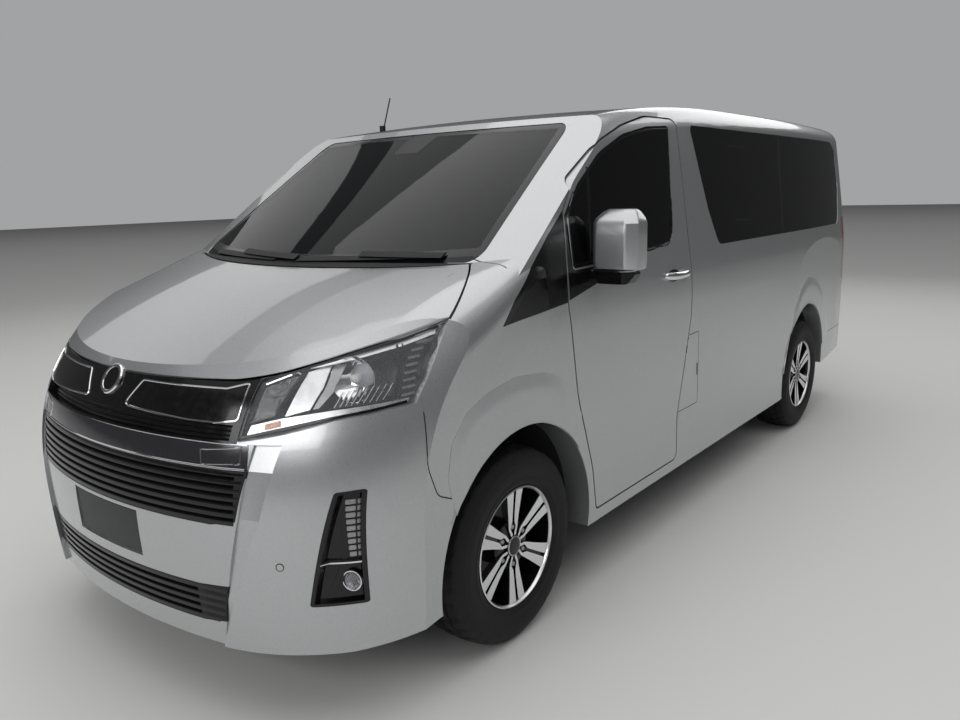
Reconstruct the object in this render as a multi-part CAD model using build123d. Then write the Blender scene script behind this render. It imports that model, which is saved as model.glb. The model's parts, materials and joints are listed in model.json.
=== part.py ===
from build123d import *
import os
from math import atan2, cos, hypot, radians, sin, sqrt, tan

# Passenger van, left-hand drive, semi-bonneted, low roof, short wheelbase.
# Millimetres. Front faces -Y, the driver's side is +X, the ground is z = 0 and
# the origin is on the ground under the middle of the body.

# Whole vehicle
LENGTH = 5265
WIDTH = 1950
HEIGHT = 1990
FRONT_Y = -LENGTH / 2
REAR_Y = LENGTH / 2
WHEELBASE = 3210
FRONT_OVERHANG = 985
FRONT_AXLE_Y = FRONT_Y + FRONT_OVERHANG
REAR_AXLE_Y = FRONT_AXLE_Y + WHEELBASE

# Reach of what cuts, past every side of the body
BESIDE = 1100
AHEAD = -2800
BEHIND = 2800
BELOW = 100
ABOVE = 2150

# Side of the body, half widths from the middle
BELT_X = WIDTH / 2
BELT_Z = 1060
SILL_X = BELT_X - 8
SIDE_BULGE = 1.5
BODY_LOW_Z = 262
WAIST_X = BELT_X - 17
WAIST_Z = 1290
GLASS_LEAN = radians(8.1)
ROOF_CORNER_R = 110
ROOF_CROWN_R = 20000

# Stations along the body: y, narrowing of each side, height of the roof
CABIN_STATIONS = [
    (FRONT_Y - 60, 0, HEIGHT - 200),
    (-1470, 0, HEIGHT - 160),
    (-950, 0, HEIGHT - 113),
    (-500, 0, HEIGHT - 48),
    (0, 0, HEIGHT - 14),
    (700, 0, HEIGHT - 2),
    (1400, 0, HEIGHT),
    (1750, 5, HEIGHT - 3),
    (2100, 17, HEIGHT - 8),
    (REAR_Y + 60, 62, HEIGHT - 32),
]

# Stations over the bonnet: y, height of the belt, narrowing and height of the waist,
# lean above it, shoulder radius, crown radius, height of the middle
BONNET_STATIONS = [
    (FRONT_Y - 60, 560, 0, 680, 0, 150, 7000, 1005),
    (-2470, 600, 0, 800, 0, 155, 7500, 1104),
    (-2200, 650, 0, 920, 0, 160, 7500, 1216),
    (-1900, 760, 0, 1030, 0, 165, 8000, 1318),
    (-1690, 950, 2, 1190, 0, 120, 11000, 1372),
    (-1470, BELT_Z, BELT_X - WAIST_X, WAIST_Z, GLASS_LEAN, 90, 12000, 1420),
]
JOIN_Y = BONNET_STATIONS[-1][0]

# Nose in plan at each height: z, y of the middle, sweep back at the kink, at the side
NOSE_KINK_X = 500
NOSE_SHOULDER_X = 800
NOSE_SIDE_X = BELT_X + 25
NOSE_LEVELS = [
    (150, -2592, 50, 205, 560),
    (420, -2632, 57, 215, 570),
    (650, -2644, 62, 222, 580),
    (850, -2622, 66, 232, 600),
    (1040, -2539, 72, 250, 640),
    (1500, -2290, 80, 270, 700),
]

# Tail in plan at each height: z, y of the middle, y of the corner
TAIL_HALF_X = 800
TAIL_LEVELS = [
    (150, REAR_Y - 25, REAR_Y - 60),
    (700, REAR_Y, REAR_Y - 32),
    (1150, REAR_Y - 12, REAR_Y - 46),
    (2100, REAR_Y - 112, REAR_Y - 140),
]
TAIL_SIDE_X = 940
TAIL_TURN_Y = 175

# Windscreen: y of the middle and of the edge at two heights
SCREEN_LOW = (1330, -1862, -1571)
SCREEN_HIGH = (1865, -962, -846)
SCREEN_EDGE_X = 1000
SCREEN_FOOT_Z = 1000
UPPER_FOOT_Z = 1250


def line(p, q):
    return Edge.make_line(Vector(*p), Vector(*q))


def arc(p, m, q):
    return Edge.make_three_point_arc(Vector(*p), Vector(*m), Vector(*q))


def box(x0, x1, y0, y1, z0, z1):
    return Pos((x0 + x1) / 2, (y0 + y1) / 2, (z0 + z1) / 2) * Box(x1 - x0, y1 - y0, z1 - z0)


def shoulder_arc(side_x, side_z, lean, radius, crown_r, crown_z):
    """Start, middle and end of the arc that joins a leaning side to a crowned top."""
    centre_z = crown_z - crown_r
    z = crown_z
    for _ in range(40):
        x = side_x - radius / cos(lean) - tan(lean) * (z - side_z)
        z = centre_z + sqrt((crown_r - radius) ** 2 - x * x)
    last = atan2(z - centre_z, x)
    middle = (lean + last) / 2
    return [(x + radius * cos(a), z + radius * sin(a)) for a in (lean, middle, last)]


def section(y, right_side, crown_z):
    """Closed cross-section: the right side's edges, the crown, and the side mirrored."""
    def at(p):
        return (p[0], y, p[1])

    def back(p):
        return (-p[0], y, p[1])

    first = right_side[0][0]
    last = right_side[-1][-1]
    edges = [line(back(first), at(first))]
    for points in right_side:
        make = line if len(points) == 2 else arc
        edges.append(make(*[at(p) for p in points]))
    edges.append(arc(at(last), (0, y, crown_z), back(last)))
    for points in reversed(right_side):
        make = line if len(points) == 2 else arc
        edges.append(make(*[back(p) for p in reversed(points)]))
    return Wire(edges)


def side_edges(inset, belt_z, waist_in, waist_z, corner):
    """Sill to belt, belt to waist, waist to the corner, and the corner's arc."""
    low = (SILL_X - inset, BODY_LOW_Z)
    lower_mid = (BELT_X - SIDE_BULGE - inset, (BODY_LOW_Z + belt_z) / 2)
    belt = (BELT_X - inset, belt_z)
    waist_mid = (BELT_X - waist_in / 4 + 0.5 - inset, (belt_z + waist_z) / 2)
    waist = (BELT_X - waist_in - inset, waist_z)
    return [(low, lower_mid, belt), (belt, waist_mid, waist), (waist, corner[0]), corner]


def cabin_section(y, narrowing, roof_z, wall, roof):
    inset = narrowing + wall
    crown = roof_z - roof
    radius = ROOF_CORNER_R - roof
    corner = shoulder_arc(WAIST_X - inset, WAIST_Z, GLASS_LEAN, radius, ROOF_CROWN_R, crown)
    return section(y, side_edges(inset, BELT_Z, BELT_X - WAIST_X, WAIST_Z, corner), crown)


def cabin_form(wall=0, roof=0):
    sections = [cabin_section(y, narrow, z, wall, roof) for y, narrow, z in CABIN_STATIONS]
    return Solid.make_loft(sections)


def bonnet_form(inset=0):
    sections = []
    for y, belt_z, waist_in, waist_z, lean, radius, crown_r, crown_z in BONNET_STATIONS:
        waist_x = BELT_X - waist_in - inset
        corner = shoulder_arc(waist_x, waist_z, lean, radius, crown_r, crown_z - inset)
        sides = side_edges(inset, belt_z, waist_in, min(waist_z, corner[0][1] - 20), corner)
        sections.append(section(y, sides, crown_z - inset))
    return Solid.make_loft(sections)


def screen_wire(level, inset):
    z, middle, edge = level
    y0 = edge + inset
    left = (SCREEN_EDGE_X, y0, z)
    right = (-SCREEN_EDGE_X, y0, z)
    back = BEHIND + 700
    return Wire([
        arc(right, (0, middle + inset, z), left),
        line(left, (SCREEN_EDGE_X, back, z)),
        line((SCREEN_EDGE_X, back, z), (-SCREEN_EDGE_X, back, z)),
        line((-SCREEN_EDGE_X, back, z), right),
    ])


def extrapolate(low, high, z):
    """Values at a height, on the line through two levels that start with theirs."""
    t = (z - low[0]) / (high[0] - low[0])
    return (z,) + tuple(a + (b - a) * t for a, b in zip(low[1:], high[1:]))


def screen_form(inset=0):
    """Everything behind the windscreen's surface, moved back by inset."""
    low = extrapolate(SCREEN_LOW, SCREEN_HIGH, SCREEN_FOOT_Z)
    high = extrapolate(SCREEN_LOW, SCREEN_HIGH, ABOVE)
    return Solid.make_loft([screen_wire(low, inset), screen_wire(high, inset)], ruled=True)


def nose_wire(level, inset):
    z, middle, kink, shoulder, side = level
    y0 = middle + inset
    p = [(NOSE_KINK_X, y0 + kink, z), (NOSE_SHOULDER_X, y0 + shoulder, z),
         (NOSE_SIDE_X - inset, y0 + side, z)]
    q = [(-x, y, h) for x, y, h in p]
    back = (NOSE_SIDE_X - inset, 3000, z)
    return Wire([
        arc(q[0], (0, y0, z), p[0]),
        arc(p[0], p[1], p[2]),
        line(p[2], back),
        line(back, (-back[0], 3000, z)),
        line((-back[0], 3000, z), q[2]),
        arc(q[2], q[1], q[0]),
    ])


def nose_form(inset=0):
    return Solid.make_loft([nose_wire(level, inset) for level in NOSE_LEVELS])


def tail_wire(level, inset):
    z, middle, corner = level
    a = (TAIL_HALF_X, corner - inset, z)
    turn = (TAIL_SIDE_X - 32 - inset, corner - 48 - inset, z)
    b = (TAIL_SIDE_X - inset, corner - TAIL_TURN_Y - inset, z)
    front = (TAIL_SIDE_X + 60 - inset, 600, z)

    def back(p):
        return (-p[0], p[1], p[2])

    return Wire([
        line(back(front), front), line(front, b), arc(b, turn, a),
        arc(a, (0, middle - inset, z), back(a)),
        arc(back(a), back(turn), back(b)), line(back(b), back(front)),
    ])


def tail_form(inset=0):
    front = box(-1500, 1500, -4000, 600, 150, 2100)
    return front + Solid.make_loft([tail_wire(level, inset) for level in TAIL_LEVELS])


def outer_form(wall=0, roof=0, screen=0, bonnet=0, nose=0, tail=0):
    """The whole body, each of its surfaces moved in by its own amount."""
    cabin = cabin_form(wall, roof)
    rear = cabin & box(-BESIDE, BESIDE, JOIN_Y, 3500, 200, ABOVE)
    foot = cabin & box(-BESIDE, BESIDE, -1950, JOIN_Y, UPPER_FOOT_Z, ABOVE)
    upper = (rear + foot) - (box(-BESIDE, BESIDE, -3500, 1000, BELT_Z, ABOVE) - screen_form(screen))
    body = upper + bonnet_form(bonnet)
    ahead_of_nose = box(-BESIDE, BESIDE, -3500, -1900, BELOW, 1500) - nose_form(nose)
    behind_tail = box(-BESIDE, BESIDE, 1000, 3500, BELOW, ABOVE) - tail_form(tail)
    return (body - ahead_of_nose) - behind_tail


# Outlines
def side_face(points, radii=None):
    """Face in the YZ plane from corners (y, z), each rounded by its own radius."""
    return rounded_face([(0, y, z) for y, z in points], radii)


def front_face(points, radii=None):
    """Face in the XZ plane from corners (x, z)."""
    return rounded_face([(x, 0, z) for x, z in points], radii)


def plan_face(points, radii=None):
    """Face in the XY plane from corners (x, y)."""
    return rounded_face([(x, y, 0) for x, y in points], radii)


def rounded_face(points, radii):
    corners = [Vector(*p) for p in points]
    count = len(corners)
    radii = radii or [0] * count
    edges = []
    ends = []
    for i in range(count):
        here, before, after = corners[i], corners[i - 1], corners[(i + 1) % count]
        if not radii[i]:
            ends.append((here, here))
            continue
        u = (before - here).normalized()
        v = (after - here).normalized()
        half = radians(u.get_angle(v)) / 2
        run = radii[i] / tan(half)
        middle = here + (u + v).normalized() * (radii[i] / sin(half) - radii[i])
        ends.append((here + u * run, here + v * run))
        edges.append(Edge.make_three_point_arc(ends[i][0], middle, ends[i][1]))
    for i in range(count):
        start, end = ends[i][1], ends[(i + 1) % count][0]
        if (end - start).length > 0.01:
            edges.append(Edge.make_line(start, end))
    return Face(Wire.combine(edges)[0])


def grown(face, amount):
    """The face with its outline moved outwards, or inwards when amount is negative."""
    return Face(face.outer_wire().offset_2d(amount, kind=Kind.INTERSECTION))


def across(face, x0, x1):
    return Pos(x0, 0, 0) * Solid.extrude(face, Vector(x1 - x0, 0, 0))


def along(face, y0, y1):
    return Pos(0, y0, 0) * Solid.extrude(face, Vector(0, y1 - y0, 0))


def upright(face, z0, z1):
    return Pos(0, 0, z0) * Solid.extrude(face, Vector(0, 0, z1 - z0))


def cylinder_x(y, z, radius, x0, x1):
    return Pos((x0 + x1) / 2, y, z) * (Rot(0, 90, 0) * Cylinder(radius, x1 - x0))


def mirrored(shape):
    return mirror(shape, about=Plane.YZ)


def both_sides(shape):
    return Compound(list(shape.solids()) + list(mirrored(shape).solids()))


# Body shell: thickness of the walls, the gaps between panels
SIDE_WALL = 60
ROOF_WALL = 40
SCREEN_WALL = 80
GLASS = 5
BONNET_WALL = 28
FENDER_WALL = 30
NOSE_WALL = 70
TAIL_WALL = 60
DOOR_GAP = 7
LID_DROP = 6
REST_GAP = 0.3
FLOOR_TOP_Z = 480
FLOOR_BOTTOM_Z = 440
FLOOR_REAR_Y = 2440
SILL_INNER_X = 860
FIREWALL_Y = -1600
BAY_REAR_Y = -1640
LINER_WALL = 12

# Wheels and arches
WHEEL_R = 357
WHEEL_Z = WHEEL_R
WHEEL_X = 837.5
TYRE_WIDTH = 235
RIM_R = 222
FRONT_ARCH = (FRONT_AXLE_Y + 2, 362, 442)
REAR_ARCH = (REAR_AXLE_Y - 12, 385, 440)
FRONT_HOUSE_X = 520
REAR_HOUSE_X = 620

# Outlines seen from the side, corners (y, z)
UNDERSIDE = [(-2800, 50), (-2800, 268), (-2350, 272), (-2095, 300), (-1190, 284), (1100, 284),
             (1500, 332), (1880, 350), (2250, 372), (2800, 400), (2800, 50)]
DOOR_CORNERS = [(-280, 1884), (-280, 1240), (-283, 1001), (-412, 540), (-398, 335), (-1146, 335),
                (-1180, 520), (-1292, 830), (-1350, 1180), (-1326, 1400), (-1318, 1512), (-1222, 1620),
                (-1010, 1764), (-790, 1836), (-560, 1884)]
DOOR_RADII = [50, 200, 60, 90, 40, 20, 300, 500, 60, 120, 60, 250, 400, 500, 300]
DOOR_WINDOW = [(-362, 1853), (-397, 1617), (-450, 1358), (-640, 1326), (-1292, 1304), (-1284, 1500),
               (-1205, 1600), (-1010, 1724), (-800, 1801), (-580, 1840)]
DOOR_WINDOW_RADII = [22, 300, 30, 300, 16, 60, 150, 300, 300, 300]
SIDE_GLASS = [(-143, 1866), (2290, 1868), (2420, 1815), (2425, 1560), (2330, 1306), (70, 1304), (-20, 1480)]
SIDE_GLASS_RADII = [25, 80, 60, 200, 90, 60, 0]
SLIDING_DOOR = [(-215, 1915), (1010, 1922), (1010, 860), (1050, 330), (-215, 335)]
SLIDING_DOOR_RADII = [40, 40, 200, 60, 60]
GARNISH = [(-1310, 1520), (-1427, 1436), (-1566, 1322), (-1676, 1240), (-1750, 1160), (-1653, 1168),
           (-1502, 1178), (-1300, 1194)]
LAMP_SIDE = [(-1936, 1235), (-2130, 990), (-2330, 964), (-2500, 912), (-2700, 912), (-2700, 1300),
             (-1936, 1300)]
BUMPER_SIDE = [(-1990, 100), (-1990, 655), (-2090, 700), (-2130, 800), (-2112, 1010), (-2700, 1010),
               (-2700, 100)]
BUMPER_RADII = [0, 0, 60, 120, 0, 0, 0]
LAMP_INNER_X = 591

# Outlines seen from the front, corners (x, z)
MAIN_GRILLE = [(-618, 905), (618, 905), (626, 829), (595, 680), (512, 664), (-512, 664), (-595, 680),
               (-626, 829)]
LOWER_GRILLE = [(-552, 474), (-444, 465), (444, 465), (552, 474), (524, 352), (436, 341), (-436, 341),
                (-524, 352)]
FOG_BEZEL = [(836, 769), (895, 773), (893, 427), (775, 428)]
FOG_RADII = [8] * len(FOG_BEZEL)
BAR_Z = (829, 905)
TAILGATE = [(-735, 1925), (735, 1925), (790, 1500), (800, 1050), (780, 520), (-780, 520), (-800, 1050),
            (-790, 1500)]
TAILGATE_RADII = [60, 60, 0, 0, 40, 40, 0, 0]
TAILGATE_WINDOW = [(-665, 1850), (665, 1850), (715, 1340), (-715, 1340)]
TAILGATE_WINDOW_RADII = [60, 60, 60, 60]

# Edge of the nose's centre and the crease outside it, at each height: z, x, x
FACETS = [(150, 470, 474), (269, 505, 511), (429, 542, 575), (690, 604, 672), (829, 626, 700), (905, 633, 712)]
CENTRE_SINK = 13
SLOT_Z = (912, 954)
SLOT_X = 566
SLOT_DEPTH = 24
MAIN_SLATS = 7
MAIN_SLAT = 13
LOWER_SLATS = 5
LOWER_SLAT = 13
GRILLE_BACK = 14
GRILLE_REAR_Y = -2380
SLAT_REACH = 590
LOWER_SLAT_REACH = 430
SLAT_Z = (668, BAR_Z[0] - 4)
LOWER_SLAT_Z = (345, 461)
LAMP_DEPTH = 110
LENS_WALL = 4
LAMP_RIM = 7
FOG_RIM = 9
FOG_SINK = 22
PLATE_X = 198
PLATE_Z = (501, 653)
PLATE_SINK = 22
PLATE_HOLES_X = 105
PLATE_HOLE_R = 3.5
PLATE_HOLE_Y = (-2700, -2598)
REAR_PLATE_X = 235
REAR_PLATE_Z = (700, 865)
REAR_PLATE_SINK = 14
REAR_PLATE_HOLES_Z = 780
REAR_PLATE_HOLE_Y = (2590, 2700)

# Bonnet: x, y, z of the points of its seam; the front seam leans along the lid's first movement
BONNET_REAR_MID = (0, -1858, 1334)
BONNET_REAR_END = (780, -1668, 1352)
BONNET_SIDE_MID = (868, -1800, 1297)
BONNET_CORNER = (923, -1947, 1214)
BONNET_LAMP_MID = (775, -2225, 1142)
BONNET_FRONT_END = (585, -2412, 1062)
BONNET_FRONT_MID = (0, -2524, 1058)
BONNET_SEAM_LEAN = 0.42
BONNET_SEAM_Z = 1200
COWL_X = 790
COWL_Z = (1280, 1351)
SCREEN_GLASS_LOW = (800, 1352)
SCREEN_GLASS_HIGH = (722, 1852)
SCREEN_GLASS_RADII = [40, 40, 60, 60]


def across_corners(points):
    """Corners in the XY plane on the left, and the same ones on the right."""
    left = [(x, y, 0) for x, y in points]
    right = [(-x, y, 0) for x, y in points]
    return left, right


def bonnet_rear_face():
    left, right = across_corners([p[:2] for p in (BONNET_REAR_END, BONNET_SIDE_MID, BONNET_CORNER)])
    x, y = BONNET_CORNER[:2]
    return Face(Wire([
        arc(right[0], BONNET_REAR_MID[:2] + (0,), left[0]),
        arc(left[0], left[1], left[2]),
        line(left[2], (x, y - 800, 0)),
        line((x, y - 800, 0), (-x, y - 800, 0)),
        line((-x, y - 800, 0), right[2]),
        arc(right[2], right[1], right[0]),
    ]))


def bonnet_front_face():
    def moved(p):
        return (p[0], p[1] + BONNET_SEAM_LEAN * (p[2] - BONNET_SEAM_Z))

    left, right = across_corners([moved(p) for p in (BONNET_CORNER, BONNET_LAMP_MID, BONNET_FRONT_END)])
    x, y = left[0][:2]
    return Face(Wire([
        line((-x, y + 600, 0), (x, y + 600, 0)),
        line((x, y + 600, 0), left[0]),
        arc(left[0], left[1], left[2]),
        arc(left[2], moved(BONNET_FRONT_MID) + (0,), right[2]),
        arc(right[2], right[1], right[0]),
        line(right[0], (-x, y + 600, 0)),
    ]))


def bonnet_prism(amount):
    """Space inside the bonnet's seam, grown by amount."""
    rear = upright(grown(bonnet_rear_face(), amount), 950, 1500)
    low = 950 - BONNET_SEAM_Z
    high = 1500 - BONNET_SEAM_Z
    front = Pos(0, -BONNET_SEAM_LEAN * low, 950) * Solid.extrude(
        grown(bonnet_front_face(), amount), Vector(0, -BONNET_SEAM_LEAN * (high - low), high - low))
    return rear & front


def house(arch, grow, inner_x, outer_x=BESIDE):
    """Room round a wheel on the left side, its radius grown."""
    y, z, radius = arch
    return cylinder_x(y, z, radius + grow, inner_x, outer_x)


def cabin_space():
    """Left half of the cabin's hollow, between the walls, roof, floor and firewall."""
    form = outer_form(SIDE_WALL, ROOF_WALL, SCREEN_WALL, BONNET_WALL + 60, NOSE_WALL, TAIL_WALL)
    space = form & box(0, BESIDE, FIREWALL_Y, BEHIND, FLOOR_TOP_Z, ABOVE)
    space -= house(REAR_ARCH, LINER_WALL, REAR_HOUSE_X - LINER_WALL)
    return space - house(FRONT_ARCH, LINER_WALL, FRONT_HOUSE_X - LINER_WALL)


def body_shell(outer):
    """Left half of the shell behind the bumper, with arches, underside and hollows cut."""
    half = outer & box(0, BESIDE, -2140, BEHIND, BELOW, ABOVE)
    bay = (bonnet_form(FENDER_WALL) & nose_form(NOSE_WALL)) & box(-10, BESIDE, AHEAD, BAY_REAR_Y, BELOW, ABOVE)
    bay -= house(FRONT_ARCH, LINER_WALL, FRONT_HOUSE_X - LINER_WALL)
    half = half - cabin_space() - bay
    half -= across(side_face(UNDERSIDE), -10, BESIDE)
    half -= box(-10, SILL_INNER_X, -1190, 1090, BELOW, FLOOR_BOTTOM_Z)
    half -= box(-10, REAR_HOUSE_X + 1, 1000, FLOOR_REAR_Y, BELOW, FLOOR_BOTTOM_Z)
    half -= box(-10, FRONT_HOUSE_X - 24, FIREWALL_Y, -1180, BELOW, FLOOR_BOTTOM_Z)
    half -= house(FRONT_ARCH, 0, FRONT_HOUSE_X)
    return half - house(REAR_ARCH, 0, REAR_HOUSE_X)


def screen_outline(grow=0):
    """Prism along Y through the windscreen's glass."""
    low_x, low_z = SCREEN_GLASS_LOW
    high_x, high_z = SCREEN_GLASS_HIGH
    corners = [(-low_x, low_z), (low_x, low_z), (high_x, high_z), (-high_x, high_z)]
    face = front_face(corners, SCREEN_GLASS_RADII)
    return along(grown(face, grow) if grow else face, -2300, -700)


def write(shape, name):
    shape.label = name
    export_step(shape, os.path.join("parts", name + ".step"))


def largest(shape):
    """The biggest solid of a cut, without the crumbs that lie beyond it."""
    return max(shape.solids(), key=lambda solid: solid.volume)


def pane(face, x0, x1, form):
    """Glass just under the skin, inside an outline seen from the side."""
    outer_skin, inner_skin = form
    return across(grown(face, -REST_GAP), x0, x1) & (outer_skin - inner_skin)


# Seams between the panels of the shell
ROOF_PANEL_X = 745
ROOF_FRONT_Y = -1100
ROOF_PANEL_Z = 1838
SKIN_X = ROOF_PANEL_X + 1
FENDER_SIDE = [(-2140, 100), (-1190, 100), (-1190, 1180), (-1300, 1180), (-1300, 1440), (-1400, 1462),
               (-2140, 1462)]
TAIL_LAMP_X = 800
TAIL_LAMP_Z = (905, 1345)
REAR_BUMPER_Z = 505

# The fender's and the side panel's share of the shell, seen from the front
FENDER_FRONT = [(700, ABOVE), (700, 900), (935, 900), (935, BELOW), (BESIDE, BELOW), (BESIDE, ABOVE)]
SIDE_FRONT = [(600, ABOVE), (600, 1000), (SILL_INNER_X + 2, 1000), (SILL_INNER_X + 2, BELOW), (BESIDE, BELOW),
              (BESIDE, ABOVE)]


# Front door's hinge: a point of its axis, the lean in degrees, and the room for its front corner
DOOR_HINGE = (972, -1265, 760)
DOOR_HINGE_LEAN = 2.5
DOOR_PIN_R = 2.5
DOOR_SWING = (780, BESIDE, -1345, -1215, 1400, 1600)
PIN_CLEARANCE = 0.08
DOOR_PIN_LENGTH = 90

# Rubber stops: x, y and radius under the bonnet, ranges of x, y and z behind the tailgate
BONNET_STOP = (300, -2478, 12)
TAILGATE_STOP = (791.9, 798.1, 2560, 2590, 1268, 1282)


def hinge_pin(radius):
    """Pin on the front door's axis: its foot in the fender, its head in the door."""
    x, y, z = DOOR_HINGE
    return Pos(x, y, z) * (Rot(0, -DOOR_HINGE_LEAN, 0) * Cylinder(radius, DOOR_PIN_LENGTH))


def stops():
    """Rubber stops that the bonnet and the tailgate rest against."""
    x, y, radius = BONNET_STOP
    disc = Pos(x, y, 1000) * Cylinder(radius, 400)
    ring = bonnet_form(BONNET_WALL + REST_GAP) - bonnet_form(BONNET_WALL + LID_DROP - REST_GAP)
    pads = list((disc & ring).solids())
    pads += box(*TAILGATE_STOP).solids()
    return Compound(pads + [mirrored(pad) for pad in pads])


def circle_y(a, b, c, x):
    """y at x on the circle through three points given as (x, y)."""
    (x1, y1), (x2, y2), (x3, y3) = a, b, c
    d = 2 * (x1 * (y2 - y3) + x2 * (y3 - y1) + x3 * (y1 - y2))
    s1, s2, s3 = x1 * x1 + y1 * y1, x2 * x2 + y2 * y2, x3 * x3 + y3 * y3
    cx = (s1 * (y2 - y3) + s2 * (y3 - y1) + s3 * (y1 - y2)) / d
    cy = (s1 * (x3 - x2) + s2 * (x1 - x3) + s3 * (x2 - x1)) / d
    return cy - sqrt((x1 - cx) ** 2 + (y1 - cy) ** 2 - (x - cx) ** 2)


def nose_y(x, z):
    """y of the nose at a height, between the two nearest levels."""
    for low, high in zip(NOSE_LEVELS, NOSE_LEVELS[1:]):
        if low[0] <= z <= high[0]:
            _, y0, kink, shoulder, side = extrapolate(low, high, z)
            break
    points = [(NOSE_KINK_X, y0 + kink), (NOSE_SHOULDER_X, y0 + shoulder), (NOSE_SIDE_X, y0 + side)]
    return circle_y(*points, x)


def centre_recess():
    """Space cut from the nose: the centre to an even depth, and a facet at each side of it."""
    side = [(x, z) for z, x, _ in FACETS]
    outline = front_face(side + [(-x, z) for x, z in reversed(side)])
    centre = along(outline, AHEAD, GRILLE_REAR_Y) - nose_form(CENTRE_SINK)
    wires = []
    for z, inner, outer in FACETS:
        edge = (inner - 1, nose_y(inner, z) + CENTRE_SINK, z)
        p = [(inner - 1, AHEAD, z), edge, (outer, nose_y(outer, z), z), (outer, AHEAD, z)]
        wires.append(Wire([line(p[i - 1], p[i]) for i in range(4)]))
    facet = Solid.make_loft(wires, ruled=True)
    return centre + facet + mirrored(facet)


def plate_holes(z, y0, y1):
    """Pair of holes that a plate is fastened by."""
    hole = Pos(PLATE_HOLES_X, (y0 + y1) / 2, z) * (Rot(90, 0, 0) * Cylinder(PLATE_HOLE_R, y1 - y0))
    return hole + mirrored(hole)


def nose_shell(depth_top, depth_front):
    """Inner form of the nose, moved in from its top and its front."""
    return bonnet_form(depth_top) & nose_form(depth_front)


def rows(low_z, high_z, count, bar):
    """Low and high z of evenly spaced horizontal bars between two heights."""
    pitch = (high_z - low_z - bar) / (count - 1)
    return [(low_z + i * pitch, low_z + i * pitch + bar) for i in range(count)]


def slatted(area, skin, slats, half_x):
    """Grille inside an outline: its bars at full depth in front of a thin back plate."""
    cut = None
    for (_, low), (high, _) in zip(slats, slats[1:]):
        gap = box(-half_x, half_x, AHEAD, GRILLE_REAR_Y, low, high)
        cut = gap if cut is None else cut + gap
    body = skin & area
    return largest(body - (cut - nose_form(NOSE_WALL - GRILLE_BACK)))


def build_nose(outer, over_lid, parts):
    """Everything ahead of the fender's seam: grilles, lamps and bumper."""
    block = outer & box(-BESIDE, BESIDE, AHEAD, -1930, 200, 1350)
    block -= over_lid + centre_recess()
    arch = house(FRONT_ARCH, 0, FRONT_HOUSE_X)
    arch_cut = arch + mirrored(arch)
    skin = block - nose_shell(FENDER_WALL, NOSE_WALL) - across(side_face(UNDERSIDE), -BESIDE, BESIDE) - arch_cut

    lamp_face = side_face(LAMP_SIDE)
    lamp = across(lamp_face, LAMP_INNER_X, BESIDE)
    unit = largest((block & lamp) - nose_shell(LAMP_DEPTH, LAMP_DEPTH + 30))
    lens_back = nose_shell(LENS_WALL, LENS_WALL)
    parts["headlamp_lenses"] = both_sides(largest(unit - lens_back))
    chamber = nose_shell(LENS_WALL + 10, LENS_WALL + 12) - nose_shell(LAMP_DEPTH - 8, LAMP_DEPTH + 22)
    inside = across(grown(lamp_face, -LAMP_RIM), LAMP_INNER_X + LAMP_RIM, BESIDE)
    back = nose_shell(LENS_WALL + REST_GAP, LENS_WALL + REST_GAP)
    parts["headlamp_bodies"] = both_sides(largest((unit & back) - (chamber & inside)))
    room = across(grown(lamp_face, REST_GAP), LAMP_INNER_X - REST_GAP, BESIDE)
    skin = skin - room - mirrored(room)

    main = front_face(MAIN_GRILLE)
    main_area = along(grown(main, -REST_GAP), AHEAD, GRILLE_REAR_Y)
    slat_area = main_area - box(-BESIDE, BESIDE, AHEAD, -2300, BAR_Z[0], 1200)
    parts["grille"] = slatted(slat_area, skin, rows(*SLAT_Z, MAIN_SLATS, MAIN_SLAT), SLAT_REACH)
    bar_area = main_area & box(-BESIDE, BESIDE, AHEAD, -2300, BAR_Z[0] + REST_GAP, 1200)
    parts["grille_bar"] = largest(skin & bar_area)
    top_panel = box(-LAMP_INNER_X + 1, LAMP_INNER_X - 1, AHEAD, -2300, BAR_Z[1], 1200)
    slot = box(-SLOT_X, SLOT_X, AHEAD, -2300, *SLOT_Z) - nose_form(SLOT_DEPTH)
    parts["upper_grille"] = largest((skin & top_panel) - slot)
    lower = front_face(LOWER_GRILLE)
    low_area = along(grown(lower, -REST_GAP), AHEAD, GRILLE_REAR_Y)
    low_rows = rows(*LOWER_SLAT_Z, LOWER_SLATS, LOWER_SLAT)
    parts["lower_grille"] = slatted(low_area, skin, low_rows, LOWER_SLAT_REACH)

    bezel_face = front_face(FOG_BEZEL, FOG_RADII)
    bezel = largest(skin & along(grown(bezel_face, -REST_GAP), AHEAD, -2200))
    sunk = along(grown(bezel_face, -FOG_RIM), AHEAD, -2200) & (nose_form(-5) - nose_form(FOG_SINK))
    parts["fog_lamps"] = both_sides(largest(bezel - sunk))

    fog = along(bezel_face, AHEAD, -2200)
    for face in (main, lower):
        skin -= along(face, AHEAD, GRILLE_REAR_Y)
    skin = skin - fog - mirrored(fog)
    skin -= box(-LAMP_INNER_X, LAMP_INNER_X, AHEAD, -2300, BAR_Z[1] - 1, 1200)
    area = across(side_face(BUMPER_SIDE, BUMPER_RADII), -BESIDE, BESIDE)
    plate = box(-PLATE_X, PLATE_X, AHEAD, -2400, *PLATE_Z) - nose_form(PLATE_SINK)
    holes = plate_holes(sum(PLATE_Z) / 2, *PLATE_HOLE_Y)
    parts["front_bumper"] = largest((skin & area) - plate - holes)


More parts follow.
